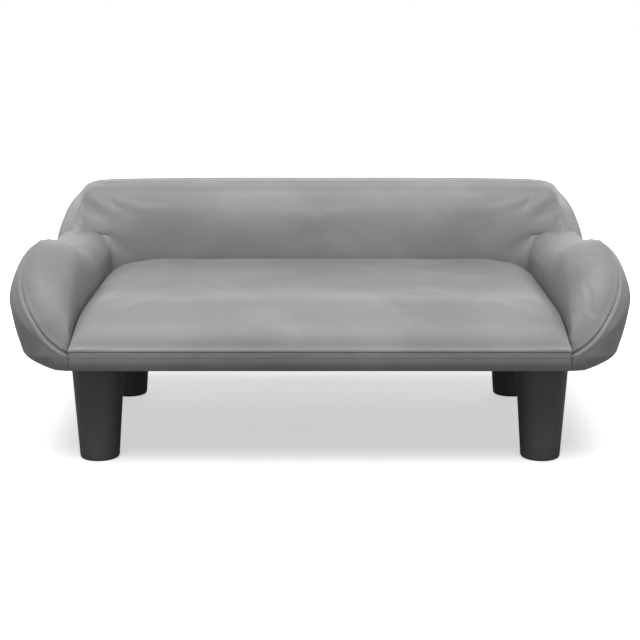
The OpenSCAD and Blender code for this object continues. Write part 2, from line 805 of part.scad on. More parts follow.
module arm_bolts() {
    color(zinc)
    for (side = [0, 1])
        mirror([side, 0, 0])
        for (y = [-arm_bolt_y, arm_bolt_y])
        translate([frame_half - rail_w, y, bolt_z])
        rotate([0, 90, 0]) {
            cylinder(h = bolt_l, d = bolt_d);
            translate([0, 0, -head_h])
                cylinder(h = head_h, d = head_d);
        }
}

module left() {
    mirror([1, 0, 0])
        children();
}

seat_front_rail();
seat_rear_rail();
seat_side_rails();
seat_centre_rail();
corner_braces();
seat_deck();
seat_foam();
seat_cover();
front_band_cover();
leg(-1, -1);  // leg_front_left
leg(1, -1);  // leg_front_right
leg(-1, 1);  // leg_rear_left
leg(1, 1);  // leg_rear_right
leg_studs();
tee_nuts();
left() arm_base_rail();  // arm_left_base_rail
arm_base_rail();  // arm_right_base_rail
left() arm_front_rib();  // arm_left_front_rib
arm_front_rib();  // arm_right_front_rib
left() arm_rear_rib();  // arm_left_rear_rib
arm_rear_rib();  // arm_right_rear_rib
left() arm_top_rail();  // arm_left_top_rail
arm_top_rail();  // arm_right_top_rail
left() arm_outer_board();  // arm_left_outer_board
arm_outer_board();  // arm_right_outer_board
left() arm_foam();  // arm_left_foam
arm_foam();  // arm_right_foam
left() arm_inner_cover();  // arm_left_inner_cover
arm_inner_cover();  // arm_right_inner_cover
left() arm_outer_cover();  // arm_left_outer_cover
arm_outer_cover();  // arm_right_outer_cover
arm_bolts();
back_board();
back_ribs();
back_top_rail();
back_foam();
back_front_cover();
back_rear_cover();
back_bolts();
frame_screws();
dust_cover();
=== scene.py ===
"""Dog sofa bed: velvet upholstery, stitching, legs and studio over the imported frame."""

import json
import logging
import math
from dataclasses import dataclass
from enum import Enum

import bmesh
import bpy
import numpy as np
from bpy.types import Material, Node, NodeSocket, NodeTree, Object
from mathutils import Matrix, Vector
from mathutils.bvhtree import BVHTree

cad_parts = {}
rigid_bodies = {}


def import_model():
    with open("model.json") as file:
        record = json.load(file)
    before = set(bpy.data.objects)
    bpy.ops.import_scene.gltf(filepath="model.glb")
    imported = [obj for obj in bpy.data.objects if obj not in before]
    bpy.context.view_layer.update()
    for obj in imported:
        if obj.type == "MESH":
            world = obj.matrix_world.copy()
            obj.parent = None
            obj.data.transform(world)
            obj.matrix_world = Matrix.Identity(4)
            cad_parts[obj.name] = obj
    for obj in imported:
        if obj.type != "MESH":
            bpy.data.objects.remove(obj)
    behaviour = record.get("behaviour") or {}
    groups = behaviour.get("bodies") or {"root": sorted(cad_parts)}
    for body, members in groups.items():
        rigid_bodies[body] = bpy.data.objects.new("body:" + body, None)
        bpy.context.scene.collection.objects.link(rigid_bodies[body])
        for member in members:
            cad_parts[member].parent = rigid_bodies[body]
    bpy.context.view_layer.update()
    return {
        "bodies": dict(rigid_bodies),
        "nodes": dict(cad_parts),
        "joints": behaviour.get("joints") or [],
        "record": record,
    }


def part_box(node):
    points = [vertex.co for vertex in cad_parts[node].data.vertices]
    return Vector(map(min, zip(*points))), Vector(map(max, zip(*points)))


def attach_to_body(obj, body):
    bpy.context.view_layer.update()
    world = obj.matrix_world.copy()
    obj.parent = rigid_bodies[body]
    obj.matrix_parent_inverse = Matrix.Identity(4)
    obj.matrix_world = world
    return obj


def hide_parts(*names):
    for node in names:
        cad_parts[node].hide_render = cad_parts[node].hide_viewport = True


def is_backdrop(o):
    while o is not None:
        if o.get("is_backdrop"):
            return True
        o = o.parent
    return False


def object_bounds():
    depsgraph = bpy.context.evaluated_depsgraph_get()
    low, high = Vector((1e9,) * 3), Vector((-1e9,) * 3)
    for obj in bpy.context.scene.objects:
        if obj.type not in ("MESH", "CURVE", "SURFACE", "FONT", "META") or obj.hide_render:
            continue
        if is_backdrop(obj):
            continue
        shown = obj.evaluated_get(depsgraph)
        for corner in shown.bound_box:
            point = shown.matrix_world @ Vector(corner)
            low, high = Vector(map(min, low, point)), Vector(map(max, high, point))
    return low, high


LOG = logging.getLogger("sofa_bed")
MM = 0.001
ON_TOP = 0.0001
Number = float | np.ndarray
Triple = tuple[float, float, float]


class Side(Enum):
    """The two mirrored sides of the bed."""

    LEFT = -1
    RIGHT = 1


def mix(a: Number, b: Number, t: Number) -> Number:
    """Blend from a to b as t goes from 0 to 1."""
    return a + (b - a) * t


def quarter(t: Number) -> Number:
    """Rise along a quarter circle from 0 to 1."""
    return np.sqrt(1 - (1 - np.clip(t, 0, 1)) ** 2)


def smooth(t: Number) -> Number:
    """Ease from 0 to 1."""
    t = np.clip(t, 0, 1)
    return t * t * (3 - 2 * t)


def through(points: list[tuple[float, ...]], count: int) -> np.ndarray:
    """Run a smooth curve through given points.

    Args:
        points: the points, in order.
        count: how many places to return along the curve, ends included.

    Returns:
        The places, one row each.
    """
    pts = np.array(points, dtype=float)
    padded = np.vstack([2 * pts[0] - pts[1], pts, 2 * pts[-1] - pts[-2]])
    places = []
    for u in np.linspace(0, len(pts) - 1, count):
        i = min(int(u), len(pts) - 2)
        t = u - i
        a, b, c, d = padded[i : i + 4]
        curved = (2 * a - 5 * b + 4 * c - d) * t**2 + (3 * b - a - 3 * c + d) * t**3
        places.append(0.5 * (2 * b + (c - a) * t + curved))
    return np.array(places)


def in_scene(name: str, data: bpy.types.ID) -> Object:
    """Put a mesh, light or camera into the scene as an object at the origin.

    Args:
        name: the object's name.
        data: its mesh, light or camera.

    Returns:
        The object.
    """
    obj = bpy.data.objects.new(name, data)
    bpy.context.scene.collection.objects.link(obj)
    return obj


def closed_grid(name: str, grid: np.ndarray) -> Object:
    """Make a closed mesh object from rings of points in millimetres.

    Args:
        name: the object's name.
        grid: rings by points by three coordinates.

    Returns:
        The object, at the origin, with its faces outwards.
    """
    rings, cols = grid.shape[:2]
    verts = [tuple(p) for p in (grid.reshape(-1, 3) * MM)]
    faces = []
    for i in range(rings - 1):
        for j in range(cols):
            k = (j + 1) % cols
            faces.append((i * cols + j, (i + 1) * cols + j, (i + 1) * cols + k, i * cols + k))
    for ring, flip in ((0, False), (rings - 1, True)):
        hub = len(verts)
        verts.append(tuple(grid[ring].mean(axis=0) * MM))
        for j in range(cols):
            a, b = ring * cols + j, ring * cols + (j + 1) % cols
            faces.append((hub, b, a) if flip else (hub, a, b))
    mesh = bpy.data.meshes.new(name)
    mesh.from_pydata(verts, [], faces)
    shell = bmesh.new()
    shell.from_mesh(mesh)
    if shell.calc_volume(signed=True) < 0:
        bmesh.ops.reverse_faces(shell, faces=shell.faces)
    shell.to_mesh(mesh)
    shell.free()
    mesh.update()
    return in_scene(name, mesh)


def coords(obj: Object) -> np.ndarray:
    """Read an object's vertex places, in metres.

    Args:
        obj: the object.

    Returns:
        One row for each vertex.
    """
    out = np.empty(len(obj.data.vertices) * 3)
    obj.data.vertices.foreach_get("co", out)
    return out.reshape(-1, 3)


def set_coords(obj: Object, places: np.ndarray) -> None:
    """Write an object's vertex places, in metres."""
    obj.data.vertices.foreach_set("co", np.ascontiguousarray(places).ravel())
    obj.data.update()


def normals(obj: Object) -> np.ndarray:
    """Read an object's vertex normals.

    Args:
        obj: the object.

    Returns:
        One row for each vertex.
    """
    out = np.empty(len(obj.data.vertices) * 3)
    obj.data.vertex_normals.foreach_get("vector", out)
    return out.reshape(-1, 3)


def baked(obj: Object) -> None:
    """Turn an object's modifiers into its mesh and remove them.

    Args:
        obj: the object.
    """
    depsgraph = bpy.context.evaluated_depsgraph_get()
    mesh = bpy.data.meshes.new_from_object(obj.evaluated_get(depsgraph))
    obj.modifiers.clear()
    old = obj.data
    obj.data = mesh
    mesh.name = obj.name
    bpy.data.meshes.remove(old)


def subdivided(obj: Object) -> None:
    """Divide each face in four, smoothly.

    Args:
        obj: the object.
    """
    finer = obj.modifiers.new("finer", "SUBSURF")
    finer.levels = 1
    finer.render_levels = 1
    baked(obj)


def smooth_shaded(obj: Object) -> Object:
    """Shade an object's faces smoothly and return it.

    Args:
        obj: the object.

    Returns:
        The same object.
    """
    obj.data.polygons.foreach_set("use_smooth", [True] * len(obj.data.polygons))
    obj.data.update()
    return obj


def refined(obj: Object, path: np.ndarray, reach: float) -> None:
    """Divide the faces beside a path twice, so that they can take a narrow seam.

    Args:
        obj: the object.
        path: the path's points, in metres.
        reach: how far from the path faces are divided first, in metres; half as far the second time.
    """
    for near in (reach, reach / 2):
        close = to_path(coords(obj), path) < near
        shell = bmesh.new()
        shell.from_mesh(obj.data)
        edges = [e for e in shell.edges if all(close[v.index] for v in e.verts)]
        bmesh.ops.subdivide_edges(
            shell, edges=edges, cuts=1, use_grid_fill=True, smooth=1.0, smooth_falloff="LINEAR")
        shell.to_mesh(obj.data)
        shell.free()


@dataclass(frozen=True)
class Stuffing:
    """How a cover swells over its foam when it is simulated as cloth."""

    pressure: float = 4.0
    frames: int = 20
    cap: float = 0.0018
    stiffness: float = 18.0
    bending: float = 2.0

    def swell(self, obj: Object, held: np.ndarray) -> None:
        """Simulate the cover and keep the result in the mesh.

        Args:
            obj: the cover, an even closed mesh.
            held: true for each vertex that is tacked to the frame.
        """
        rest = coords(obj)
        pins = obj.vertex_groups.new(name="tacked")
        pins.add([int(i) for i in np.flatnonzero(held)], 1.0, "REPLACE")
        cloth = obj.modifiers.new("stuffing", "CLOTH")
        settings = cloth.settings
        settings.vertex_group_mass = "tacked"
        settings.use_pressure = True
        settings.uniform_pressure_force = self.pressure
        settings.tension_stiffness = self.stiffness
        settings.compression_stiffness = self.stiffness
        settings.shear_stiffness = self.stiffness / 2
        settings.bending_stiffness = self.bending
        settings.quality = 4
        settings.effector_weights.gravity = 0
        cloth.collision_settings.use_collision = False
        cloth.point_cache.frame_end = self.frames
        scene = bpy.context.scene
        for frame in range(1, self.frames + 1):
            scene.frame_set(frame)
        evaluated = obj.evaluated_get(bpy.context.evaluated_depsgraph_get())
        moved = coords(evaluated) - rest
        obj.modifiers.clear()
        obj.vertex_groups.clear()
        scene.frame_set(1)
        length = np.linalg.norm(moved, axis=1, keepdims=True)
        limit = self.cap * np.tanh(length / self.cap)
        set_coords(obj, rest + moved * limit / np.maximum(length, 1e-9))


def to_path(points: np.ndarray, path: np.ndarray) -> np.ndarray:
    """Measure how far points lie from a path of straight steps.

    Args:
        points: the points, in metres.
        path: the path's points, in metres.

    Returns:
        One distance for each point.
    """
    near = np.full(len(points), np.inf)
    for a, b in zip(path[:-1], path[1:]):
        step = b - a
        t = np.clip((points - a) @ step / max(step @ step, 1e-12), 0, 1)
        near = np.minimum(near, np.linalg.norm(points - a - t[:, None] * step, axis=1))
    return near


@dataclass(frozen=True)
class Seam:
    """A sewn seam: a narrow valley with a low roll of cloth on each side, in metres.

    Points farther from it than reach stay as they are; faces nearer than fine are divided for it first.
    """

    depth: float = 0.0009
    half_width: float = 0.0013
    roll: float = 0.0005
    roll_at: float = 0.0036
    roll_width: float = 0.0022
    reach: float = 0.012
    fine: float = 0.008

    def press(self, obj: Object, path: np.ndarray) -> None:
        """Press the seam into a cover.

        Args:
            obj: the cover.
            path: the seam's points, in metres.
        """
        places = coords(obj)
        low, high = path.min(axis=0) - self.reach, path.max(axis=0) + self.reach
        near = np.flatnonzero(((places > low) & (places < high)).all(axis=1))
        d = to_path(places[near], path)
        rise = self.roll * np.exp(-(((d - self.roll_at) / self.roll_width) ** 2))
        valley = self.depth * np.exp(-((d / self.half_width) ** 2))
        places[near] += normals(obj)[near] * (rise - valley)[:, None]
        set_coords(obj, places)


FOLD = Seam(depth=0.0004, half_width=0.003, roll=0.0003, roll_at=0.006)
TUCK = Seam(depth=0.0009, half_width=0.002, roll=0.0002, roll_at=0.004)


def surface_of(obj: Object) -> BVHTree:
    """Make a search tree of an object's surface."""
    return BVHTree.FromObject(obj, bpy.context.evaluated_depsgraph_get())


def laid_on(tree: BVHTree, path: np.ndarray, lift: float = 0.0) -> np.ndarray:
    """Lay a path on a surface.

    Args:
        tree: the surface's search tree.
        path: the path's points, in metres.
        lift: how far above the surface it lies, in metres.

    Returns:
        The path on the surface.
    """
    laid = []
    for p in path:
        place, normal, _, _ = tree.find_nearest(Vector(p))
        laid.append(np.array(place + normal * lift))
    return np.array(laid)


def straight_on(tree: BVHTree, path: np.ndarray) -> np.ndarray:
    """Move a path straight back until it lies on a surface behind it.

    Args:
        tree: the surface's search tree.
        path: the path's points, in metres.

    Returns:
        The path on the surface, with the points that meet no surface left in place.
    """
    laid = []
    for p in path:
        place, _, _, _ = tree.ray_cast(Vector(p), Vector((0, 1, 0)))
        laid.append(p if place is None else np.array(place))
    return np.array(laid)


def beside(tree: BVHTree, path: np.ndarray, offset: float) -> np.ndarray:
    """Run a second path just above a surface, beside the first.

    Args:
        tree: the surface's search tree.
        path: the first path, in metres.
        offset: how far to the side, in metres; negative for the other side.

    Returns:
        The second path.
    """
    out = []
    for i, p in enumerate(path):
        ahead = Vector(path[min(i + 1, len(path) - 1)] - path[max(i - 1, 0)]).normalized()
        _, normal, _, _ = tree.find_nearest(Vector(p))
        across = normal.cross(ahead).normalized()
        place, up, _, _ = tree.find_nearest(Vector(p) + across * offset)
        out.append(np.array(place + up * ON_TOP))
    return np.array(out)


def join(tree: NodeTree, *links: tuple[Node, str | int, Node, str | int]) -> None:
    """Link nodes, each time from one node's named output to another's named input."""
    for source, output, target, entry in links:
        tree.links.new(source.outputs[output], target.inputs[entry])


def math_node(tree: NodeTree, kind: str, value: float = 0.0) -> Node:
    """Add a math node whose second value is fixed.

    Args:
        tree: the nodes that it joins.
        kind: its operation.
        value: its second value.

    Returns:
        The node.
    """
    node = tree.nodes.new("ShaderNodeMath")
    node.operation = kind
    node.inputs[1].default_value = value
    return node


def ramp_node(tree: NodeTree, low: float, high: float) -> Node:
    """Add a node that turns the range from low to high into 0 to 1.

    Args:
        tree: the nodes that it joins.
        low: what becomes 0.
        high: what becomes 1.

    Returns:
        The node.
    """
    node = tree.nodes.new("ShaderNodeMapRange")
    node.interpolation_type = "SMOOTHSTEP"
    node.inputs["From Min"].default_value = low
    node.inputs["From Max"].default_value = high
    return node


def colour_node(tree: NodeTree, blend: str = "MIX", **ends: Triple) -> Node:
    """Add a node that mixes colours, with its fixed ends given as A or B.

    Args:
        tree: the nodes that it joins.
        blend: how it mixes.
        ends: the fixed colours.

    Returns:
        The node.
    """
    node = tree.nodes.new("ShaderNodeMix")
    node.data_type = "RGBA"
    node.blend_type = blend
    for end, colour in ends.items():
        node.inputs[end].default_value = (*colour, 1.0)
    return node


@dataclass(frozen=True)
class Layer:
    """One noise of a shared effect, put out under its own name, in a range kept from it if given."""

    label: str
    scale: float
    detail: float
    distortion: float = 0.0
    stretched: bool = False
    keep: tuple[float, float] | None = None

    def build(self, group: NodeTree, source: Node, space: Node, sink: Node) -> None:
        """Add the layer to its effect's group.

        Args:
            group: the effect's group.
            source: the group's input node.
            space: the node that puts out the coordinates that it reads.
            sink: the group's output node.
        """
        noise = group.nodes.new("ShaderNodeTexNoise")
        noise.inputs["Detail"].default_value = self.detail
        noise.inputs["Distortion"].default_value = self.distortion
        join(group, (space, "Vector", noise, "Vector"), (source, f"{self.label} scale", noise, "Scale"))
        if self.keep is None:
            join(group, (noise, "Fac", sink, self.label))
        else:
            ramp = ramp_node(group, *self.keep)
            join(group, (noise, "Fac", ramp, "Value"), (ramp, "Result", sink, self.label))


class Effect(Enum):
    """The shared shader effects: each one's stretch, turn and layers of noise."""

    PILE = ((1.0, 1.0, 1.9), (0.0, 0.5, 0.2), (
        Layer("Clouds", 8.0, 4.0, 0.4),
        Layer("Marks", 14.0, 4.0, 0.5, stretched=True, keep=(0.46, 0.8)),
        Layer("Nap", 900.0, 2.0)))
    GRAIN = ((0.08, 1.0, 1.0), (0.0, 0.0, 0.0), (
        Layer("Grain", 60.0, 4.0, 0.6, stretched=True),
        Layer("Pores", 500.0, 2.0, stretched=True)))
    SPECKLE = ((1.0, 1.0, 1.0), (0.0, 0.0, 0.0), (
        Layer("Speckle", 700.0, 3.0),
        Layer("Smudge", 20.0, 3.0, 0.3)))

    def group(self) -> NodeTree:
        """Build the effect's node group.

        Returns:
            The group, which takes a vector and each layer's scale and puts out each layer.
        """
        scale, turn, layers = self.value
        group = bpy.data.node_groups.new(self.name.lower(), "ShaderNodeTree")
        face = group.interface
        face.new_socket("Vector", in_out="INPUT", socket_type="NodeSocketVector")
        for layer in layers:
            socket = face.new_socket(f"{layer.label} scale", in_out="INPUT", socket_type="NodeSocketFloat")
            socket.default_value = layer.scale
            face.new_socket(layer.label, in_out="OUTPUT", socket_type="NodeSocketFloat")
        source, sink = group.nodes.new("NodeGroupInput"), group.nodes.new("NodeGroupOutput")
        spaces = {False: source}
        if any(layer.stretched for layer in layers):
            stretch = group.nodes.new("ShaderNodeMapping")
            stretch.inputs["Scale"].default_value = scale
            stretch.inputs["Rotation"].default_value = turn
            join(group, (source, "Vector", stretch, "Vector"))
            spaces[True] = stretch
        for layer in layers:
            layer.build(group, source, spaces[layer.stretched], sink)
        return group


class Palette:
    """What every finish is made from: the shared effects, each built once."""

    def __init__(self) -> None:
        """Build the shared node groups."""
        self.groups = {effect: effect.group() for effect in Effect}

    def start(self, name: str, effect: Effect) -> tuple[Material, Node, Node]:
        """Start a material that reads an effect in object coordinates.

        Args:
            name: the material's name.
            effect: the shared effect.

        Returns:
            The material, its shader and the placed group.
        """
        material = bpy.data.materials.new(name)
        material.use_nodes = True
        tree = material.node_tree
        place = tree.nodes.new("ShaderNodeTexCoord")
        layers = tree.nodes.new("ShaderNodeGroup")
        layers.node_tree = self.groups[effect]
        join(tree, (place, "Object", layers, "Vector"))
        return material, tree.nodes["Principled BSDF"], layers

    def bump(
        self, tree: NodeTree, layers: Node, height: str, shader: Node, sizes: tuple[float, float],
    ) -> None:
        """Feed one layer into the shader's normal through a bump node.

        Args:
            tree: the material's nodes.
            layers: the placed group.
            height: the layer's name.
            shader: the material's shader.
            sizes: the bump's distance in metres and its strength.
        """
        node = tree.nodes.new("ShaderNodeBump")
        node.inputs["Distance"].default_value, node.inputs["Strength"].default_value = sizes
        join(tree, (layers, height, node, "Height"), (node, "Normal", shader, "Normal"))


@dataclass(frozen=True)
class PaintedShading:
    """Painted light or shade on the velvet: the axis it runs along, where it starts and where it is full, in
    metres, and how many times as light the colour is painted there.
    """

    axis: str
    start: float
    end: float
    lightness: float


@dataclass(frozen=True)
class Velvet:
    """Short pile velvet with brushed marks."""

    name: str = "velvet"
    shade: Triple = (0.250, 0.254, 0.247)
    cloud_swing: float = 0.11
    mark_swing: float = 0.13
    mark_weight: float = 0.75
    nap_swing: float = 0.06
    sheen: float = 0.10
    sheen_roughness: float = 0.5
    roughness: float = 0.52
    gloss: float = 0.45
    # painted light or shade over part of the velvet, if any
    painted_shading: PaintedShading | None = None

    def make(self, palette: Palette) -> Material:
        """Build the velvet.

        Args:
            palette: the shared effects.

        Returns:
            The material.
        """
        material, shader, pile = palette.start(self.name, Effect.PILE)
        tree = material.node_tree
        dark, light, marked = (
            tuple(c * (1 + swing) for c in self.shade)
            for swing in (-self.cloud_swing, self.cloud_swing, 2 * self.mark_swing))
        clouds = ramp_node(tree, 0.3, 0.7)
        broad = colour_node(tree, A=dark, B=light)
        weight = math_node(tree, "MULTIPLY", self.mark_weight)
        marks = colour_node(tree, B=marked)
        fibre = colour_node(tree, A=(0.35,) * 3, B=(1.6,) * 3)
        nap = colour_node(tree, "MULTIPLY")
        nap.inputs["Factor"].default_value = 2 * self.nap_swing
        join(tree, (pile, "Clouds", clouds, "Value"), (clouds, "Result", broad, "Factor"),
             (pile, "Marks", weight, 0), (weight, 0, marks, "Factor"), (broad, "Result", marks, "A"),
             (pile, "Nap", fibre, "Factor"), (marks, "Result", nap, "A"), (fibre, "Result", nap, "B"))
        tree.links.new(self.with_painted_shading(tree, nap.outputs["Result"]), shader.inputs["Base Color"])
        shader.inputs["Roughness"].default_value = self.roughness
        shader.inputs["Specular IOR Level"].default_value = self.gloss
        shader.inputs["Sheen Weight"].default_value = self.sheen
        shader.inputs["Sheen Roughness"].default_value = self.sheen_roughness
        shader.inputs["Sheen Tint"].default_value = (0.93, 0.95, 0.92, 1.0)
        palette.bump(tree, pile, "Nap", shader, (0.0004, 0.35))
        return material

    def with_painted_shading(self, tree: NodeTree, colour: NodeSocket) -> NodeSocket:
        """Paint light or shade into the colour, multiplying it by the lightness from the start onwards along
        one axis.

        Args:
            tree: the material's nodes.
            colour: the velvet's colour.

        Returns:
            The colour's new socket, or the same one where no light or shade is painted.
        """
        if self.painted_shading is None:
            return colour
        place = tree.nodes.new("ShaderNodeTexCoord")
        parts = tree.nodes.new("ShaderNodeSeparateXYZ")
        # painted light or shade: fades in from start to end along the axis, then multiplies the colour
        painted_zone = ramp_node(tree, self.painted_shading.start, self.painted_shading.end)
        painted_colour = colour_node(tree, "MULTIPLY", B=(self.painted_shading.lightness,) * 3)
        join(tree, (place, "Object", parts, "Vector"), (painted_zone, "Result", painted_colour, "Factor"))
        if self.painted_shading.axis == "X":
            from_middle = math_node(tree, "ABSOLUTE")
            join(tree, (parts, "X", from_middle, 0), (from_middle, 0, painted_zone, "Value"))
        else:
            join(tree, (parts, self.painted_shading.axis, painted_zone, "Value"))
        tree.links.new(colour, painted_colour.inputs["A"])
        return painted_colour.outputs["Result"]


@dataclass(frozen=True)
class Timber:
    """Bare wood with growth lines."""

    name: str
    shade: Triple
    darker: float = 0.72
    roughness: float = 0.7

    def make(self, palette: Palette) -> Material:
        """Build the wood.

        Args:
            palette: the shared effects.

        Returns:
            The material.
        """
        material, shader, grain = palette.start(self.name, Effect.GRAIN)
        tree = material.node_tree
        lines = ramp_node(tree, 0.35, 0.65)
        colour = colour_node(tree, A=tuple(c * self.darker for c in self.shade), B=self.shade)
        join(tree, (grain, "Grain", lines, "Value"), (lines, "Result", colour, "Factor"),
             (colour, "Result", shader, "Base Color"))
        shader.inputs["Roughness"].default_value = self.roughness
        palette.bump(tree, grain, "Pores", shader, (0.0003, 0.3))
        return material


@dataclass(frozen=True)
class Uneven:
    """A plain finish with a fine speckle: plastic, plating, foam or thin cloth."""

    name: str
    dark: Triple
    light: Triple
    rough: tuple[float, float]
    speckle: float
    bump: tuple[float, float]
    metal: float = 0.0

    def make(self, palette: Palette) -> Material:
        """Build the finish.

        Args:
            palette: the shared effects.

        Returns:
            The material.
        """
        material, shader, uneven = palette.start(self.name, Effect.SPECKLE)
        uneven.inputs["Speckle scale"].default_value = self.speckle
        tree = material.node_tree
        colour = colour_node(tree, A=self.dark, B=self.light)
        rough = tree.nodes.new("ShaderNodeMapRange")
        rough.inputs["To Min"].default_value, rough.inputs["To Max"].default_value = self.rough
        join(tree, (uneven, "Smudge", colour, "Factor"), (colour, "Result", shader, "Base Color"),
             (uneven, "Smudge", rough, "Value"), (rough, "Result", shader, "Roughness"))
        shader.inputs["Metallic"].default_value = self.metal
        palette.bump(tree, uneven, "Speckle", shader, self.bump)
        return material


class Finish(Enum):
    """Every finish on the bed."""

    VELVET = Velvet()
    # Painted shade: the seat's flat top, behind its rolled front, is painted 0.8 times as light.
    SEAT_VELVET_PAINTED_SHADE = Velvet("seat_velvet_painted_shade", painted_shading=PaintedShading("Y", -0.155, -0.085, 0.8))
    # Painted light: the back's end facets, from 0.303 to 0.317 m out of the middle, are painted 1.75 times as
    # light.
    BACK_VELVET_PAINTED_LIGHT = Velvet("back_velvet_painted_light", painted_shading=PaintedShading("X", 0.303, 0.317, 1.75))
    THREAD = Velvet("thread", (0.40, 0.41, 0.39), cloud_swing=0.05, mark_swing=0.0, nap_swing=0.1, sheen=0.0)
    FOAM = Uneven(
        "foam", dark=(0.78, 0.72, 0.52), light=(0.9, 0.85, 0.66), rough=(0.85, 0.95), speckle=1400.0,
        bump=(0.0008, 0.6))
    SOFTWOOD = Timber("softwood", (0.70, 0.52, 0.31))
    PLYWOOD = Timber("plywood", (0.62, 0.46, 0.28))
    LEG_PLASTIC = Uneven(
        "leg_plastic", dark=(0.078, 0.078, 0.079), light=(0.096, 0.096, 0.097), rough=(0.36, 0.46),
        speckle=900.0, bump=(0.0001, 0.12))
    ZINC = Uneven(
        "zinc", dark=(0.56, 0.57, 0.60), light=(0.70, 0.71, 0.73), rough=(0.28, 0.42), speckle=1200.0,
        bump=(0.0001, 0.15), metal=1.0)
    DUST_CLOTH = Uneven(
        "dust_cloth", dark=(0.016, 0.016, 0.017), light=(0.028, 0.028, 0.029), rough=(0.85, 0.95),
        speckle=1500.0, bump=(0.0005, 0.5))


SLOT_FINISH = {
    "velvet": Finish.VELVET,
    "foam": Finish.FOAM,
    "timber": Finish.SOFTWOOD,
    "plywood": Finish.PLYWOOD,
    "black_plastic": Finish.LEG_PLASTIC,
    "zinc_steel": Finish.ZINC,
    "dust_cloth": Finish.DUST_CLOTH,
}


class Wardrobe:
    """Makes each material once and hands it out."""

    def __init__(self) -> None:
        """Start with the shared effects and no materials."""
        self.palette = Palette()
        self.made: dict[Finish, Material] = {}

    def get(self, finish: Finish) -> Material:
        """Return a finish's material, made on first use.

        Args:
            finish: the finish.

        Returns:
            The material.
        """
        if finish not in self.made:
            self.made[finish] = finish.value.make(self.palette)
        return self.made[finish]

    def dress(self, obj: Object, finish: Finish) -> None:
        """Put one finish all over an object."""
        obj.data.materials.clear()
        obj.data.materials.append(self.get(finish))


@dataclass(frozen=True)
class Bed:
    """The sizes that the upholstery follows, in millimetres, read from the frame."""

    half_width: float
    front: float
    rear: float
    top: float
    seat_half: float
    base: float
    deck: float
    board: float
    back_front: float

    @classmethod
    def measured(cls) -> "Bed":
        """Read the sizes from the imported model.

        Returns:
            The bed's sizes.
        """
        cover_gap, cushion_gap = 0.3, 1.5
        low, high = (np.array(c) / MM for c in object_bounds())
        deck = np.array(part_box("seat_deck")) / MM
        board = np.array(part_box("back_board")) / MM
        leg = np.array(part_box("leg_front_right")) / MM
        seat = np.array(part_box("seat_cover")) / MM
        return cls(
            half_width=high[0],
            front=low[1],
            rear=high[1],
            top=high[2],
            seat_half=deck[1][0] + cover_gap,
            base=leg[1][2],
            deck=deck[1][2],
            board=board[0][1],
            back_front=seat[1][1] + cushion_gap,
        )


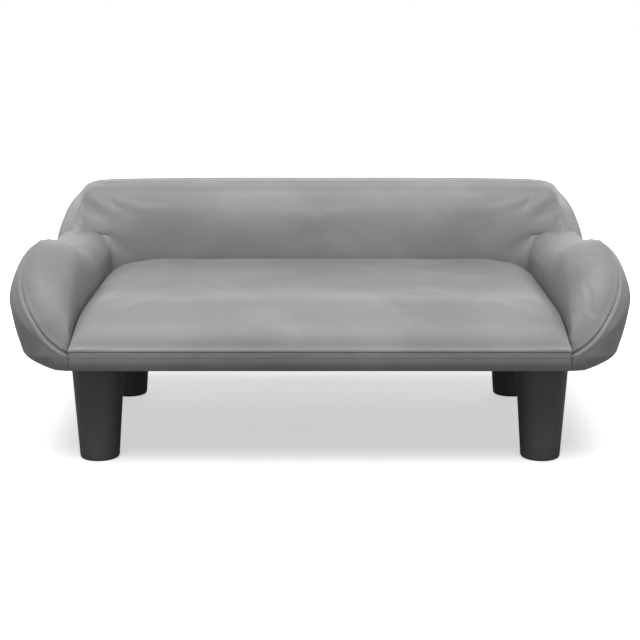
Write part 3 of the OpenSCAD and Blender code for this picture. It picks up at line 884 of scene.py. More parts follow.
@dataclass(frozen=True)
class Arm:
    """One rolled arm, shaped as the right one and mirrored for the left."""

    bed: Bed
    wide_z: float = 194.8
    inner_z: float = 198.0
    hump_z: float = 243.3
    rear_z: float = 215.2
    ridge_front_x: float = 307.8
    ridge_rear_x: float = 295.0
    rear_drop: float = 8.0
    hump_back: float = 106.0
    hump_length: float = 132.0
    nose: float = 106.4
    corner: float = 57.7
    low_corner: float = 85.0
    edge: float = 4.0
    under: float = 15.6
    low_nose: float = 42.0
    slim: float = 1.0
    taper: float = 8.5
    full_at: float = 0.8
    tip_x: float = 282.0
    tip_back: float = 1.2
    inner_flare: float = 2.2
    flare_from: float = -20.0
    flare_length: float = 140.0
    bulge: float = 2.0
    stitch_offset: float = 3.4

    @property
    def front(self) -> float:
        """Where the arm's front tip lies."""
        return self.bed.front + self.tip_back

    def outer_x(self, y: float) -> float:
        """Give how far out the arm reaches at one place, a little narrower at the front."""
        share = (y - self.front) / (self.full_at * (self.bed.rear - self.bed.front))
        return self.bed.half_width - self.slim - self.taper * (1 - float(smooth(share)))

    def past_hump(self, y: float) -> float:
        """Give how far a place has passed from the hump to the lower rear part, from 0 to 1."""
        return float(smooth((y - (self.front + self.hump_back)) / self.hump_length))

    def ridge(self, y: float) -> tuple[float, float]:
        """Give the roll's highest line: its distance from the middle and its height."""
        t = self.past_hump(y)
        return mix(self.ridge_front_x, self.ridge_rear_x, t), mix(self.hump_z, self.rear_z, t)

    def springing(self, y: float) -> tuple[float, float]:
        """Give the heights at which the roll starts on its outer and its inner side."""
        drop = self.rear_drop * self.past_hump(y)
        return self.wide_z - drop, self.inner_z - drop

    def place(self, x: np.ndarray, z: np.ndarray, y: float, inward: np.ndarray) -> np.ndarray:
        """Draw a cross section in towards the front tip.

        Args:
            x: the section's full distances from the middle.
            z: the section's full heights.
            y: the section's place from front to back.
            inward: 1 for each point against the seat, falling to 0 at the ridge and outside it.

        Returns:
            The section's points.
        """
        d = y - self.front
        up = np.clip((z - self.bed.base) / (self.wide_z - self.bed.base), 0, 1)
        radius = mix(mix(self.low_corner, self.corner, up), self.edge, inward)
        px = self.tip_x + (x - self.tip_x) * quarter(d / radius)
        out = np.clip((x - self.bed.seat_half) / (self.bed.half_width - self.bed.seat_half), 0, 1)
        reach = np.where(z > self.bed.deck, self.nose, mix(self.under, self.low_nose, out))
        pz = self.bed.deck + (z - self.bed.deck) * quarter(d / reach)
        return np.stack([px, np.full_like(px, y), pz], axis=1)

    def seam_angle(self, y: float) -> float:
        """Give the place of the seam on the roll, in degrees up from its widest line.

        Args:
            y: the place from front to back.

        Returns:
            The angle.
        """
        share = (y - self.front) / self.nose
        return float(np.interp(
            share,
            [0.0, 0.013, 0.038, 0.08, 0.15, 0.23, 0.34, 0.53, 0.69, 0.89, 1.15, 1.6, 2.4],
            [44.0, 42.0, 39.0, 41.0, 43.0, 46.0, 50.0, 58.0, 68.0, 80.0, 83.0, 58.0, 38.0],
        ))

    def outer_roll(self, degrees: np.ndarray, y: float) -> tuple[np.ndarray, np.ndarray]:
        """Give points of the roll's outer quarter at angles up from its widest line.

        Args:
            degrees: the angles.
            y: the place from front to back.

        Returns:
            The points' distances from the middle, and their heights.
        """
        rx, rz = self.ridge(y)
        wide_z, _ = self.springing(y)
        a = np.radians(degrees)
        return rx + (self.outer_x(y) - rx) * np.cos(a), wide_z + (rz - wide_z) * np.sin(a)

    def section(self, y: float) -> np.ndarray:
        """Give the closed cross section at one place from front to back.

        Args:
            y: the place.

        Returns:
            The section's points, from the lower inner edge outwards and over the top.
        """
        bed = self.bed
        rx, rz = self.ridge(y)
        wide_z, inner_z = self.springing(y)
        inner = bed.seat_half + self.inner_flare * float(smooth((y - self.flare_from) / self.flare_length))
        half = self.outer_x(y)
        flat = np.linspace(bed.seat_half, half - 50, 7)[:-1]
        side = through(
            [(half - 50, bed.base), (half - 31, bed.base + 4), (half - 12, bed.base + 12),
             (half - 7, bed.base + 25), (half - 2.7, bed.base + 50), (half, wide_z)], 20)[:-1]
        seam = self.seam_angle(y)
        near = np.array([7.0, 4.8, 3.2, 1.6])
        degrees = np.concatenate([
            np.linspace(0, seam - 7, 9)[:-1], seam - near, [seam], seam + near[::-1],
            np.linspace(seam + 7, 90, 10)[1:]])
        roll_x, roll_z = self.outer_roll(degrees, y)
        b = np.radians(np.linspace(90, 0, 18))[1:]
        wall = through(
            [(inner - self.bulge, inner_z), (inner - 1.4, bed.deck + 37), (inner - 0.8, bed.deck + 20),
             (inner - 0.3, bed.deck + 7), (bed.seat_half, bed.deck)], 12)[1:]
        lower = np.linspace(bed.deck, bed.base, 6)[1:-1]
        x = np.concatenate([
            flat, side[:, 0], roll_x, rx - (rx - inner + self.bulge) * np.cos(b), wall[:, 0],
            np.full(4, bed.seat_half)])
        z = np.concatenate([
            np.full(len(flat), bed.base), side[:, 1], roll_z, inner_z + (rz - inner_z) * np.sin(b),
            wall[:, 1], lower])
        past_ridge = np.arange(len(x)) >= len(flat) + len(side) + len(degrees)
        inward = np.where(
            past_ridge, 1 - smooth((x - self.tip_x) / (rx - self.tip_x)), (x < self.tip_x).astype(float))
        return self.place(x, z, y, inward)

    def stations(self) -> np.ndarray:
        """Give the places of the cross sections, closest together at the front."""
        nose = self.front + self.nose * (1 - np.cos(np.linspace(0.05, math.pi / 2, 30)))
        return np.concatenate([nose, np.linspace(nose[-1], self.bed.board - 0.5, 46)[1:]])

    def seam(self, tree: BVHTree, mirror: int = 1) -> np.ndarray:
        """Lay the seam between the outer and the inner panel on an arm.

        Args:
            tree: the arm's surface.
            mirror: 1 for an arm shaped as the right one, -1 for the left one.

        Returns:
            The seam in metres: round the tip from the band's corner, then up over the roll.
        """
        deck, turned = self.bed.deck, np.array([mirror, 1, 1]) * MM
        start = through(
            [(self.bed.seat_half + 0.3, deck - 1.8), (275, deck + 0.6), (282, deck + 5), (292.3, deck + 13.8),
             (299, deck + 21.3)], 20)
        tip = np.stack([start[:, 0], np.full(len(start), self.front - 20), start[:, 1]], axis=1)
        places = []
        for y in self.front + (self.bed.board - self.front) * np.linspace(0.125, 0.999, 120) ** 2:
            x, z = self.outer_roll(np.array([self.seam_angle(y)]), y)
            places.append(self.place(x, z, y, np.array([0.0]))[0])
        return np.vstack([straight_on(tree, tip * turned), laid_on(tree, np.array(places) * turned)])

    def shape(self, side: Side) -> Object:
        """Build one arm's velvet, stuffed and sewn.

        Args:
            side: which arm.

        Returns:
            The arm's cover.
        """
        grid = np.array([self.section(y) for y in self.stations()])
        obj = closed_grid(f"arm_{side.name.lower()}_velvet", grid)
        places = coords(obj) / MM
        held = (
            (places[:, 2] < self.bed.base + 2) | (places[:, 1] > self.bed.board - 4)
            | (places[:, 1] < self.front + 2.5)
            | ((places[:, 2] < self.bed.deck + 4) & (places[:, 0] < self.bed.seat_half + 6))
        )
        Stuffing().swell(obj, held)
        subdivided(obj)
        path = self.seam(surface_of(obj))
        seam = Seam()
        refined(obj, path, seam.fine)
        seam.press(obj, path)
        if side is Side.RIGHT:
            for fold in self.folds():
                FOLD.press(obj, laid_on(surface_of(obj), fold))
        else:
            mirrored(obj)
        return smooth_shaded(obj)

    def folds(self) -> list[np.ndarray]:
        """Give the soft folds that the right arm has on its front, in metres.

        Returns:
            Each fold's line.
        """
        chosen = [
            [(290, -158, 222), (296, -158, 228), (305, -160, 231)],
            [(293, -168, 214), (299, -167, 220), (307, -168, 223)],
            [(294, -204, 173), (292, -201, 181), (293, -196, 190), (290, -190, 199)],
        ]
        return [through(points, 14) * MM for points in chosen]

    def stitches(self, obj: Object, side: Side) -> list[np.ndarray]:
        """Give the rows of stitches on both sides of the seam.

        Args:
            obj: the arm's cover.
            side: which arm.

        Returns:
            The rows' paths, in metres.
        """
        tree = surface_of(obj)
        path = self.seam(tree, side.value)
        return [beside(tree, path, way * self.stitch_offset * MM) for way in (-1, 1)]


def mirrored(obj: Object) -> None:
    """Mirror an object's mesh across the bed's middle and keep its faces outwards."""
    set_coords(obj, coords(obj) * np.array([-1, 1, 1]))
    obj.data.flip_normals()


def settled(obj: Object, neighbour: BVHTree, clear: float, reach: float = 0.006) -> None:
    """Move the points of a soft piece that lie inside its neighbour to the neighbour's skin.

    Args:
        obj: the soft piece.
        neighbour: the neighbour's surface.
        clear: how far outside the skin the points end, in metres.
        reach: how deep inside a point may lie to be moved, in metres.
    """
    places = coords(obj)
    for i, p in enumerate(places):
        place, normal, _, _ = neighbour.find_nearest(Vector(p), reach)
        if place is None:
            continue
        depth = (Vector(p) - place).dot(normal)
        if depth < clear:
            places[i] = np.array(place + normal * clear)
    set_coords(obj, places)


@dataclass(frozen=True)
class SeatCushion:
    """The crowned seat cushion with its rolled front edge."""

    bed: Bed
    height: float = 47.6
    nose: float = 70.0
    side_roll: float = 34.0
    front_side_roll: float = 22.0
    corner: float = 58.0
    rear_roll: float = 12.0
    side_gap: float = 2.2
    rear_gap: float = 1.5
    front_gap: float = 0.6
    crown: float = 0.05
    side_height: float = 0.42
    rear_side_height: float = 0.55
    turn_length: float = 200.0
    front_lift: float = 0.2
    lift_length: float = 50.0
    foot_flare: float = 2.4
    foot_height: float = 30.0
    spread_drop: float = 0.65
    stitch_height: float = 0.72
    spreads: tuple[float, ...] = (0.25, 0.5, 0.75, 0.93, 1.0)

    @property
    def full(self) -> float:
        """The cushion's half width ahead of its rear corners."""
        return self.bed.seat_half - self.side_gap

    @property
    def rear(self) -> float:
        """Where the cushion ends at the back."""
        return self.bed.back_front - self.rear_gap

    def profile(self) -> np.ndarray:
        """Give the side profile.

        Returns:
            For each point its place from front to back, its height, and its place on the crown from -1 to 1.
        """
        front, rear = self.bed.front + self.front_gap, self.rear
        rim = np.array([
            (front + 0.6, 0.0, -1), (front + 0.2, 0.35, -1), (front - 0.1, 0.9, -1), (front - 0.2, 2.2, -1)])
        a = np.linspace(0.09, math.pi / 2, 22)
        nose = np.stack([
            front + self.nose * (1 - np.cos(a)), self.height * np.sin(a), np.full(len(a), -1.0)], axis=1)
        b = np.radians(np.linspace(90, 0, 8))
        tail = np.stack([
            rear - self.rear_roll * (1 - np.cos(b)), self.height - self.rear_roll * (1 - np.sin(b)),
            np.ones(len(b))], axis=1)
        t = np.linspace(0, 1, 44)[1:-1]
        top = np.stack([mix(nose[-1, 0], tail[0, 0], t), np.full(len(t), self.height), 2 * t - 1], axis=1)
        low = self.height - self.rear_roll
        drop = np.array([(rear, low - 10, 1), (rear, low - 21, 1), (rear, 0.0, 1)])
        return np.concatenate([rim, nose, top, tail, drop])

    def half_at(self, y: np.ndarray) -> np.ndarray:
        """Give the half width at places from front to back, drawn in at the rear corners."""
        round_corner = np.clip((y - (self.rear - self.corner)) / self.corner, 0, 0.97)
        return self.full - self.corner * (1 - np.sqrt(1 - round_corner**2))

    def shape(self) -> Object:
        """Build the cushion's velvet, stuffed over its foam.

        Returns:
            The cushion's cover.
        """
        profile, full = self.profile(), self.full
        half = self.half_at(profile[:, 0])
        inset = np.concatenate([
            self.side_roll * (1 - np.cos(np.linspace(0, math.pi / 2, 12))),
            np.linspace(self.side_roll, full, 44)[1:]])
        shares = np.concatenate([inset / full - 1, (1 - inset / full)[::-1][1:]])
        back = profile[:, 0] - self.bed.front
        behind = smooth(back / self.turn_length)
        roll = mix(self.front_side_roll, self.side_roll, behind)
        edge = mix(self.side_height, self.rear_side_height, behind)
        edge += self.front_lift * (1 - smooth(back / self.lift_length))
        foot = np.clip(1 - profile[:, 1] / self.foot_height, 0, 1)
        rows = []
        for share in shares:
            side = (1 - abs(share)) * full
            rise = edge + (1 - edge) * quarter(side / roll)
            drop = self.crown * self.height * (share**2 + profile[:, 2] ** 2) / 2
            z = np.clip(profile[:, 1] - drop * (profile[:, 1] > 5), 0, None) * rise
            flare = self.foot_flare * abs(share) ** 30 * foot * np.sign(share)
            rows.append(np.stack([share * half + flare, profile[:, 0], self.bed.deck + z], axis=1))
        left = [self.widened(rows[0], out) for out in self.spreads[::-1]]
        rows = [*left, *rows, *(self.widened(rows[-1], out) for out in self.spreads)]
        grid = [np.concatenate([ring, np.linspace(ring[-1], ring[0], 30)[1:-1]]) for ring in rows]
        obj = closed_grid("seat_velvet_painted_shade", np.array(grid))
        Stuffing().swell(obj, coords(obj)[:, 2] / MM < self.bed.deck + 4)
        subdivided(obj)
        places = coords(obj)
        places[:, 2] = np.maximum(places[:, 2], (self.bed.deck + 0.05) * MM)
        set_coords(obj, places)
        return smooth_shaded(obj)

    def widened(self, ring: np.ndarray, out: float) -> np.ndarray:
        """Spread the cushion's side edge towards the arm, lower than its roll, into the rear corner.

        Args:
            ring: the edge's points.
            out: how far it spreads, from 0 to 1.

        Returns:
            The spread points.
        """
        side = np.sign(ring[0, 0])
        edge = np.abs(ring[:, 0])
        x = mix(edge, np.maximum(edge, self.full), out) + 0.2 * out
        z = self.bed.deck + (ring[:, 2] - self.bed.deck) * (1 - self.spread_drop * out)
        return np.stack([side * x, ring[:, 1], z], axis=1)

    def seam(self) -> np.ndarray:
        """Give the seam along the lower front edge, in metres."""
        x = np.linspace(-self.bed.seat_half, self.bed.seat_half, 120)
        return np.stack([x, np.full_like(x, self.bed.front), np.full_like(x, self.bed.deck)], axis=1) * MM

    def side_seam(self, side: Side) -> np.ndarray:
        """Give the topstitch line along one side of the cushion.

        Args:
            side: which side.

        Returns:
            The line's points, in metres, near the cushion's surface.
        """
        y = np.linspace(self.bed.front + 1, self.bed.back_front - 6, 90)
        x = self.half_at(y) - 2.0
        z = self.bed.deck + self.stitch_height * self.height * quarter((y - self.bed.front) / self.nose)
        return np.stack([side.value * x, y, z], axis=1) * MM


@dataclass(frozen=True)
class FrontBand:
    """The velvet band under the cushion, over the front rail."""

    bed: Bed
    lean: float = 1.0
    radius: float = 16.5
    thickness: float = 1.3

    def shape(self) -> Object:
        """Build the band as a closed strip that turns under the rail.

        Returns:
            The band's cover.
        """
        low, high = (np.array(c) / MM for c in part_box("front_band_cover"))
        front, top = low[1] - 0.2, self.bed.deck - 0.15
        centre = np.array([front + self.lean + self.radius, self.bed.base + self.radius])
        a = np.radians(np.linspace(4, 90, 14))
        arc = np.stack([centre[0] - self.radius * np.cos(a), centre[1] - self.radius * np.sin(a)], axis=1)
        rim = np.array([(front + 0.6, top), (front + 0.2, top - 0.35), (front + 0.1, top - 1.0)])
        slope = np.linspace(rim[-1], arc[0], 7)[1:-1]
        outer = np.concatenate([rim, slope, arc, np.linspace(arc[-1], (high[1], self.bed.base), 5)[1:]])
        inner = outer[::-1] + np.array([(self.thickness, self.thickness)])
        inner[:, 0] = np.minimum(inner[:, 0], high[1])
        inner[-3:, 1] = outer[:3, 1][::-1]
        ring = np.concatenate([outer, inner])
        places = np.linspace(-self.bed.seat_half + 0.1, self.bed.seat_half - 0.1, 140)
        grid = np.array([np.stack([np.full(len(ring), x), ring[:, 0], ring[:, 1]], axis=1) for x in places])
        return smooth_shaded(closed_grid("front_band_velvet", grid[::-1]))


@dataclass(frozen=True)
class Back:
    """The padded back: a rolled top, slanting ends and a nearly flat rear panel."""

    bed: Bed
    arm: Arm
    ear: float = 8.0
    ear_outer: float = 0.76
    ear_fade: float = 28.0
    end_lean: float = 0.15
    end_from: float = 170.0
    end_length: float = 120.0
    end_low: float = 192.0
    end_rise: float = 60.0
    face_drop: float = 62.0
    seat_top: float = 185.3
    side_x: float = 270.2
    press: float = 4.0
    rear_gap: float = 0.4
    fold: tuple[tuple[float, float], ...] = (
        (195, 315.3), (215, 314.5), (243, 312.0), (262, 306.0), (274, 297.5))
    tuck_x: float = 313.6
    stitch_inset: float = 1.2
    panel_roll: float = 4.0
    panel_reach: float = 84.0
    panel_narrowing: float = 0.28

    def outline(self, count: int) -> np.ndarray:
        """Give the upper right outline seen from the front, from the middle to the widest place.

        Args:
            count: how many points to give.

        Returns:
            The points.
        """
        half, top = self.bed.half_width, self.bed.top - 0.8
        return through(
            [(0, top), (110, top), (200, top - 0.6), (262, top - 1.6), (284, top - 2.6), (296.6, top - 4),
             (304, top - 6.4), (309, top - 9.2), (313.6, top - 14.4), (318.5, top - 19.7), (328, top - 30.4),
             (334.9, top - 41.1), (339.8, top - 51.9), (344.2, top - 62.6), (347.7, top - 73.4),
             (half, top - 82)], count)

    def top_at(self, x: float) -> float:
        """Give the outline's height at a distance from the middle."""
        line = self.outline(400)
        return float(np.interp(abs(x), line[:, 0], line[:, 1]))

    def low_at(self, x: float) -> float:
        """Give the underside's height at a distance from the middle, over the arms' rolls.

        Args:
            x: the distance.

        Returns:
            The height.
        """
        x = abs(x)
        if x <= self.side_x:
            return self.bed.deck
        rx, rz = self.arm.ridge(self.bed.board)
        wide_z, inner_z = self.arm.springing(self.bed.board)
        edge, low = self.bed.half_width, wide_z
        if x <= rx:
            edge, low = self.bed.seat_half + self.arm.inner_flare - self.arm.bulge, inner_z
        return low + (rz - low) * math.sqrt(max(0, 1 - ((x - rx) / (edge - rx)) ** 2)) - self.press

    def lean(self) -> np.ndarray:
        """Give the side profile: distances behind the lower front face, and drops below the top.

        Returns:
            The profile's points, from low on the front to the rear edge.
        """
        return through(
            [(0, 140), (0, 110), (0, 92), (0.3, 82), (1, 72), (2.2, 62), (3.9, 52), (6.2, 42), (9.2, 32),
             (12.4, 24), (16, 17), (20, 11.5), (25, 7), (31, 3.8), (39, 1.6), (49, 0.5), (60, 0), (70, 0.2),
             (self.bed.board - self.rear_gap - self.bed.back_front, 1.2)], 300)

    def turned_back(self, x: float, z: np.ndarray) -> np.ndarray:
        """Give how far the end facet has turned from the face to the rear edge, from 0 to 1.

        Args:
            x: the distance from the middle.
            z: the heights.

        Returns:
            One share for each height.
        """
        fold = np.interp(z, *zip(*self.fold))
        edge = self.outline(200)
        rim = np.interp(z, edge[::-1, 1], edge[::-1, 0])
        return np.clip((abs(x) - fold) / np.maximum(rim - fold, 1), 0, 1) * (abs(x) > 290)

    def ear_depth(self, x: float, z: np.ndarray) -> np.ndarray:
        """Give how far the face comes forward in the rounded inner corner.

        Args:
            x: the distance from the middle.
            z: the heights.

        Returns:
            One depth for each height.
        """
        reach = abs(x) - (self.side_x - self.ear)
        if reach <= 0:
            depth = 0.0
        elif abs(x) <= self.side_x:
            depth = self.ear * (1 - math.sqrt(1 - min(reach / self.ear, 0.97) ** 2))
        else:
            depth = self.ear * self.ear_outer * max(0.0, 1 - (abs(x) - self.side_x) / self.ear)
        return depth * (1 - smooth((z - self.seat_top) / self.ear_fade))

    def section(self, x: float) -> np.ndarray:
        """Give the closed section across the back at one distance from the middle.

        Args:
            x: the distance from the middle.

        Returns:
            The section's points, up the front, over the top and down the rear.
        """
        low, top = self.low_at(x), self.top_at(x)
        rear = self.bed.board - self.rear_gap
        curve = self.lean()
        rising = slice(int(curve[:, 1].argmin()), None, -1)
        split = min(self.face_drop, 0.93 * (top - low))
        drops = np.linspace(top - low, split, 16)
        face = np.stack([np.interp(drops, curve[rising, 1], curve[rising, 0]), drops], axis=1)
        along = np.concatenate([[0], np.cumsum(np.hypot(*np.diff(curve, axis=0).T))])
        start = np.interp(split, curve[rising, 1], along[rising])
        at = np.linspace(start, along[-1], 34)[1:]
        over = np.stack([np.interp(at, along, curve[:, 0]), np.interp(at, along, curve[:, 1])], axis=1)
        line = np.concatenate([face, over])
        line = np.stack([self.bed.back_front + line[:, 0], top - line[:, 1]], axis=1)
        outward = float(smooth((abs(x) - self.end_from) / self.end_length))
        upward = np.clip((line[:, 1] - self.end_low) / self.end_rise, 0, 1)
        line[:, 0] = mix(line[:, 0], rear, self.end_lean * outward * upward)
        line[:, 0] = mix(line[:, 0] - self.ear_depth(x, line[:, 1]), rear, self.turned_back(x, line[:, 1]))
        down = np.linspace((rear, line[-1, 1]), (rear, low), 10)[1:]
        under = np.linspace((rear, low), (line[0, 0], low), 10)[1:-1]
        ring = np.concatenate([line, down, under])
        return np.stack([np.full(len(ring), x), ring[:, 0], ring[:, 1]], axis=1)

    def stations(self) -> np.ndarray:
        """Give the places across the back, closest together at the corners and folds.

        Returns:
            The distances from the middle, from left to right.
        """
        half = np.concatenate([
            np.linspace(0, self.side_x - self.ear, 38),
            np.linspace(self.side_x - self.ear, self.side_x, 14)[1:],
            [self.side_x + 0.3], np.linspace(self.side_x + 2, 292, 9),
            np.linspace(294.5, self.bed.half_width - 1.4, 24)])
        return np.concatenate([-half[::-1][:-1], half])

    def shape(self, arms: list[BVHTree]) -> Object:
        """Build the front velvet of the back, stuffed and settled on the arms.

        Args:
            arms: the surfaces of both arms.

        Returns:
            The back's cover.
        """
        grid = np.array([self.section(x) for x in self.stations()])
        obj = closed_grid("back_velvet_painted_light", grid)
        places = coords(obj) / MM
        low = np.array([self.low_at(x) for x in places[:, 0]])
        held = (places[:, 1] > self.bed.board - 3) | (places[:, 2] < low + 3)
        Stuffing(cap=0.0015).swell(obj, held)
        subdivided(obj)
        for tree in arms:
            settled(obj, tree, 0.0002)
        for side in Side:
            x, y = side.value * self.tuck_x, self.bed.back_front + 2
            line = np.array([(x, y, z) for z in np.linspace(211, 226, 8)]) * MM
            TUCK.press(obj, laid_on(surface_of(obj), line))
        return smooth_shaded(obj)

    def panel_ring(self, margin: float, y: float) -> np.ndarray:
        """Give the whole rear outline, drawn in by a margin, at one place from front to back.

        Args:
            margin: how far it is drawn in.
            y: its place from front to back.

        Returns:
            The outline's points.
        """
        half, base = self.bed.half_width, self.bed.base
        upper = self.outline(70)
        lower = through(
            [(half, self.bed.top - 82), (half - 0.4, base + 66), (half - 2.7, base + 50),
             (half - 7, base + 25), (half - 12, base + 12), (half - 30, base + 4), (half - 46, base),
             (half - 60, base)], 34)[1:]
        foot = np.stack([np.linspace(half - 60, 0, 30)[1:], np.full(29, base)], axis=1)
        line = np.concatenate([upper, lower, foot])
        whole = np.concatenate([line, (line * [-1, 1])[::-1][1:-1]])
        ahead = np.roll(whole, -1, axis=0) - np.roll(whole, 1, axis=0)
        out = np.stack([-ahead[:, 1], ahead[:, 0]], axis=1)
        out /= np.linalg.norm(out, axis=1, keepdims=True)
        shrunk = whole - out * min(margin, self.panel_roll)
        share = max(0.0, margin - self.panel_roll) / self.panel_reach
        z = mix(shrunk[:, 1], (base + self.bed.top) / 2, share)
        x = shrunk[:, 0] * (1 - self.panel_narrowing * share)
        return np.stack([x, np.full(len(shrunk), y), z], axis=1)

    def rear_panel(self) -> Object:
        """Build the padded rear panel with its rolled rim.

        Returns:
            The panel.
        """
        board, rear = self.bed.board, self.bed.rear
        plump = [
            (2.2, board + 0.2), (0.3, board + 0.2), (0.0, board + 2), (0.0, board + 8), (0.4, board + 11),
            (1.6, board + 13.2), (4, board + 14.8), (9, rear - 1.4), (18, rear - 0.7), (34, rear - 0.2),
            (55, rear), (82, rear)]
        rings = [self.panel_ring(margin, y) for margin, y in plump]
        return smooth_shaded(closed_grid("back_rear_velvet", np.array(rings)[::-1]))

    def outline_seam(self) -> np.ndarray:
        """Give the seam between the front velvet and the rear panel, in metres.

        Returns:
            The seam's points, from the left end over the top to the right.
        """
        line = self.outline(160)
        line = line[line[:, 0] < self.bed.half_width - self.stitch_inset]
        whole = np.concatenate([(line * [-1, 1])[::-1][:-1], line])
        return np.stack([whole[:, 0], np.full(len(whole), self.bed.board), whole[:, 1]], axis=1) * MM


@dataclass
class StitchRow:
    """Rows of thread stitches or wire staples, laid along paths by Geometry Nodes; sizes in metres."""

    name: str
    material: Material
    pitch: float
    length: float
    thickness: float = 0.0009

    def __post_init__(self) -> None:
        """Build the node tree once."""
        self.sizes = {"Pitch": self.pitch, "Length": self.length, "Thickness": self.thickness}
        self.tree = self.build_tree()

    def build_tree(self) -> NodeTree:
        """Build the tree that sets a stitch at every pitch along a path.

        Returns:
            The tree, with inputs for the pitch, length and thickness.
        """
        tree = bpy.data.node_groups.new(self.name, "GeometryNodeTree")
        face, nodes = tree.interface, tree.nodes
        face.new_socket("Geometry", in_out="INPUT", socket_type="NodeSocketGeometry")
        for label, value in self.sizes.items():
            face.new_socket(label, in_out="INPUT", socket_type="NodeSocketFloat").default_value = value
        face.new_socket("Geometry", in_out="OUTPUT", socket_type="NodeSocketGeometry")
        source, sink = nodes.new("NodeGroupInput"), nodes.new("NodeGroupOutput")
        curve = nodes.new("GeometryNodeMeshToCurve")
        points = nodes.new("GeometryNodeCurveToPoints")
        points.mode = "LENGTH"
        bead = nodes.new("GeometryNodeMeshUVSphere")
        bead.inputs["Segments"].default_value = 6
        bead.inputs["Rings"].default_value = 5
        bead.inputs["Radius"].default_value = 0.5
        size = nodes.new("ShaderNodeCombineXYZ")
        turn = nodes.new("FunctionNodeAlignRotationToVector")
        turn.axis = "X"
        place = nodes.new("GeometryNodeInstanceOnPoints")
        real = nodes.new("GeometryNodeRealizeInstances")
        finish = nodes.new("GeometryNodeSetMaterial")
        finish.inputs["Material"].default_value = self.material
        join(tree, (source, "Geometry", curve, "Mesh"), (curve, "Curve", points, "Curve"),
             (source, "Pitch", points, "Length"), (source, "Length", size, "X"),
             (source, "Thickness", size, "Y"), (source, "Thickness", size, "Z"),
             (points, "Tangent", turn, "Vector"), (points, "Points", place, "Points"),
             (bead, "Mesh", place, "Instance"), (turn, "Rotation", place, "Rotation"),
             (size, "Vector", place, "Scale"), (place, "Instances", real, "Geometry"),
             (real, "Geometry", finish, "Geometry"), (finish, "Geometry", sink, "Geometry"))
        return tree

    def sew(self, name: str, rows: list[np.ndarray]) -> Object:
        """Sew stitches along rows.

        Args:
            name: the piece's name.
            rows: each row's path, in metres.

        Returns:
            The stitches as one mesh.
        """
        verts, edges = [], []
        for row in rows:
            start = len(verts)
            verts += [tuple(p) for p in row]
            edges += [(start + i, start + i + 1) for i in range(len(row) - 1)]
        mesh = bpy.data.meshes.new(name)
        mesh.from_pydata(verts, edges, [])
        obj = in_scene(name, mesh)
        sewn = obj.modifiers.new("stitches", "NODES")
        sewn.node_group = self.tree
        for item in self.tree.interface.items_tree:
            if item.name in self.sizes:
                sewn[item.identifier] = self.sizes[item.name]
        baked(obj)
        return smooth_shaded(obj)


@dataclass(frozen=True)
class Sun:
    """A broad soft light far away, where a strength of pi lights a white surface fully."""

    name: str
    toward: Triple
    spread: float
    strength: float

    def hang(self) -> None:
        """Put the light into the scene."""
        data = bpy.data.lights.new(self.name, "SUN")
        data.angle = math.radians(self.spread)
        data.energy = self.strength
        in_scene(self.name, data).rotation_euler = Vector(self.toward).to_track_quat("Z", "Y").to_euler()


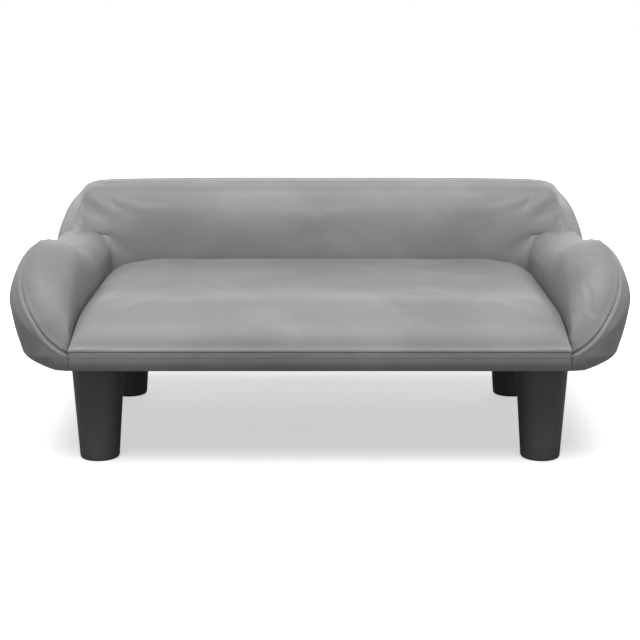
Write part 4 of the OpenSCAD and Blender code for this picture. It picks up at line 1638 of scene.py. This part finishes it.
@dataclass(frozen=True)
class Studio:
    """Floor, soft lights and the camera at the photograph's viewing angle."""

    camera_back: float = 1.8939
    camera_up: float = 0.5181
    tilt: float = 9.3575
    focal_px: float = 1597.2
    frame_px: float = 640.0
    sensor: float = 36.0
    shift: float = -0.1
    ambient: float = 0.17
    suns: tuple[Sun, ...] = (
        Sun("key", (-0.04, -0.36, 0.93), spread=45, strength=2.85),
        Sun("low", (0.0, -1.0, 0.03), spread=70, strength=0.42),
        Sun("rear", (0.1, 1.0, 0.4), spread=60, strength=0.6))
    floor_reach: float = 12.0
    floor_tone: float = 0.9
    floor_bounce: float = 0.25
    floor_glow: float = 0.55

    def camera(self) -> None:
        """Place the camera."""
        data = bpy.data.cameras.new("camera")
        data.sensor_width = self.sensor
        data.lens = self.focal_px / self.frame_px * data.sensor_width
        data.shift_y = self.shift
        obj = in_scene("camera", data)
        obj.location = (0, -self.camera_back, self.camera_up)
        obj.rotation_euler = (math.radians(90 - self.tilt), 0, 0)
        bpy.context.scene.camera = obj

    def world(self) -> None:
        """Give the room its even light, and white where the camera or a mirror looks past the floor."""
        world = bpy.data.worlds.new("room")
        bpy.context.scene.world = world
        world.use_nodes = True
        tree = world.node_tree
        tree.nodes.clear()
        rays = tree.nodes.new("ShaderNodeLightPath")
        even, seen = tree.nodes.new("ShaderNodeBackground"), tree.nodes.new("ShaderNodeBackground")
        for shade, strength in ((even, self.ambient), (seen, 1.0)):
            shade.inputs["Color"].default_value = (1, 1, 1, 1)
            shade.inputs["Strength"].default_value = strength
        choose = tree.nodes.new("ShaderNodeMixShader")
        out = tree.nodes.new("ShaderNodeOutputWorld")
        shown = math_node(tree, "MAXIMUM")
        mirrors = math_node(tree, "MAXIMUM")
        join(tree, (rays, "Is Glossy Ray", mirrors, 0), (rays, "Is Transmission Ray", mirrors, 1),
             (rays, "Is Camera Ray", shown, 0), (mirrors, 0, shown, 1), (shown, 0, choose, "Fac"),
             (even, 0, choose, 1), (seen, 0, choose, 2), (choose, 0, out, "Surface"))

    def floor(self) -> None:
        """Lay the pale floor: white to the camera, greyer where it throws light back."""
        mesh = bpy.data.meshes.new("floor")
        r = self.floor_reach
        mesh.from_pydata([(-r, -r, 0), (r, -r, 0), (r, r, 0), (-r, r, 0)], [], [(0, 1, 2, 3)])
        obj = in_scene("floor", mesh)
        material = bpy.data.materials.new("floor")
        material.use_nodes = True
        tree = material.node_tree
        shader = tree.nodes["Principled BSDF"]
        shader.inputs["Roughness"].default_value = 0.9
        shader.inputs["Specular IOR Level"].default_value = 0.0
        rays = tree.nodes.new("ShaderNodeLightPath")
        tone = colour_node(tree, A=(self.floor_bounce,) * 3, B=(self.floor_tone,) * 3)
        glow = tree.nodes.new("ShaderNodeEmission")
        glow.inputs["Color"].default_value = (1, 1, 1, 1)
        power = math_node(tree, "MULTIPLY", self.floor_glow)
        both = tree.nodes.new("ShaderNodeAddShader")
        join(tree, (rays, "Is Camera Ray", tone, "Factor"), (tone, "Result", shader, "Base Color"),
             (rays, "Is Camera Ray", power, 0), (power, 0, glow, "Strength"), (shader, 0, both, 0),
             (glow, 0, both, 1), (both, 0, tree.nodes["Material Output"], "Surface"))
        mesh.materials.append(material)
        obj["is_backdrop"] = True

    def build(self) -> None:
        """Set up the whole studio."""
        self.world()
        self.floor()
        for sun in self.suns:
            sun.hang()
        self.camera()
        bpy.context.scene.view_settings.view_transform = "Standard"


def attach(obj: Object, slot: str, *nodes: str) -> None:
    """Make a piece ride on the bed and stand for its CAD nodes.

    Args:
        obj: the piece.
        slot: the record's material slot; not used.
        nodes: the CAD nodes that it replaces.
    """
    if nodes:
        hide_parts(*nodes)
    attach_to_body(obj, "root")
    LOG.info("%s: %d faces", obj.name, len(obj.data.polygons))


class Sofa:
    """The whole bed: dressed frame, upholstery and stitching."""

    def __init__(self, frame: dict) -> None:
        """Read the frame and prepare the materials.
        """
        self.frame = frame
        self.bed = Bed.measured()
        self.wardrobe = Wardrobe()
        self.thread = StitchRow("stitch_row", self.wardrobe.get(Finish.THREAD), pitch=0.0036, length=0.0027)
        self.wire = StitchRow("staple_row", self.wardrobe.get(Finish.ZINC), pitch=0.034, length=0.010)

    def dress_frame(self) -> None:
        """Give every CAD node its finish."""
        slots = {part["node"]: part["material_slot"] for part in self.frame["record"]["subparts"]}
        for name, obj in self.frame["nodes"].items():
            material = self.wardrobe.get(SLOT_FINISH[slots[name]])
            for holder in obj.material_slots:
                holder.material = material
            if not obj.material_slots:
                obj.data.materials.append(material)

    def velvet(self, obj: Object, *nodes: str, finish: Finish = Finish.VELVET) -> None:
        """Dress a padded velvet piece and make it stand for its CAD nodes.

        Args:
            obj: the piece.
            nodes: the CAD nodes that it replaces.
            finish: its finish.
        """
        self.wardrobe.dress(obj, finish)
        attach(obj, "velvet", *nodes)

    def make_arms(self, arm: Arm) -> list[BVHTree]:
        """Make both arms and their stitches.

        Args:
            arm: the arms' shape.

        Returns:
            The arms' surfaces, for what lies against them.
        """
        trees = []
        for side in Side:
            obj = arm.shape(side)
            word = side.name.lower()
            self.velvet(obj, f"arm_{word}_foam", f"arm_{word}_inner_cover", f"arm_{word}_outer_cover")
            attach(self.thread.sew(f"arm_{word}_stitches", arm.stitches(obj, side)), "velvet")
            trees.append(surface_of(obj))
        return trees

    def make_seat(self, arms: list[BVHTree]) -> None:
        """Make the seat cushion, the band under it and their stitches.

        Args:
            arms: the arms' surfaces.
        """
        cushion = SeatCushion(self.bed)
        seat = cushion.shape()
        for tree in arms:
            settled(seat, tree, 0.0004)
        band = FrontBand(self.bed).shape()
        # the seat cover takes the velvet with painted shade on its flat top
        self.velvet(seat, "seat_foam", "seat_cover", finish=Finish.SEAT_VELVET_PAINTED_SHADE)
        self.velvet(band, "front_band_cover")
        surface = surface_of(seat)
        above, below = np.array([0, -0.002, 0.0044]), np.array([0, -0.002, -0.0042])
        rows = [
            laid_on(surface, cushion.seam() + above, ON_TOP),
            laid_on(surface_of(band), cushion.seam() + below, ON_TOP),
            *(laid_on(surface, cushion.side_seam(side), ON_TOP) for side in Side),
        ]
        attach(self.thread.sew("seat_stitches", rows), "velvet")

    def make_back(self, arm: Arm, arms: list[BVHTree]) -> None:
        """Make the back, its rear panel and the stitches on their outline.

        Args:
            arm: the arms' shape.
            arms: the arms' surfaces.
        """
        back = Back(self.bed, arm)
        front = back.shape(arms)
        panel = back.rear_panel()
        # the back takes the velvet with painted light on its end facets
        self.velvet(front, "back_foam", "back_front_cover", finish=Finish.BACK_VELVET_PAINTED_LIGHT)
        self.velvet(panel, "back_rear_cover")
        rows = [
            laid_on(surface_of(obj), back.outline_seam() + np.array([0, step, 0.001]), ON_TOP)
            for obj, step in ((front, -0.0034), (panel, 0.0036))]
        attach(self.thread.sew("back_stitches", rows), "velvet")

    def staple_dust_cover(self) -> None:
        """Staple the dust cover to the rails from underneath."""
        low, high = (np.array(c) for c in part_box("dust_cover"))
        inset, z = 0.009, low[2] - 0.0003
        x0, x1, y0, y1 = low[0] + inset, high[0] - inset, low[1] + inset, high[1] - inset
        corners = np.array([(x0, y0), (x1, y0), (x1, y1), (x0, y1), (x0, y0)])
        rows = [
            np.array([(*mix(a, b, t), z) for t in np.linspace(0.03, 0.97, 30)])
            for a, b in zip(corners[:-1], corners[1:])
        ]
        attach(self.wire.sew("dust_cover_staples", rows), "zinc_steel")

    def upholster(self) -> None:
        """Make the soft pieces and their stitches."""
        arm = Arm(self.bed)
        arms = self.make_arms(arm)
        self.make_seat(arms)
        self.make_back(arm, arms)
        self.staple_dust_cover()


def main() -> None:
    """Build the whole scene."""
    logging.basicConfig(level=logging.INFO, format="%(message)s")
    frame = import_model()
    sofa = Sofa(frame)
    Studio().build()
    sofa.dress_frame()
    sofa.upholster()


if __name__ == "__main__":
    main()
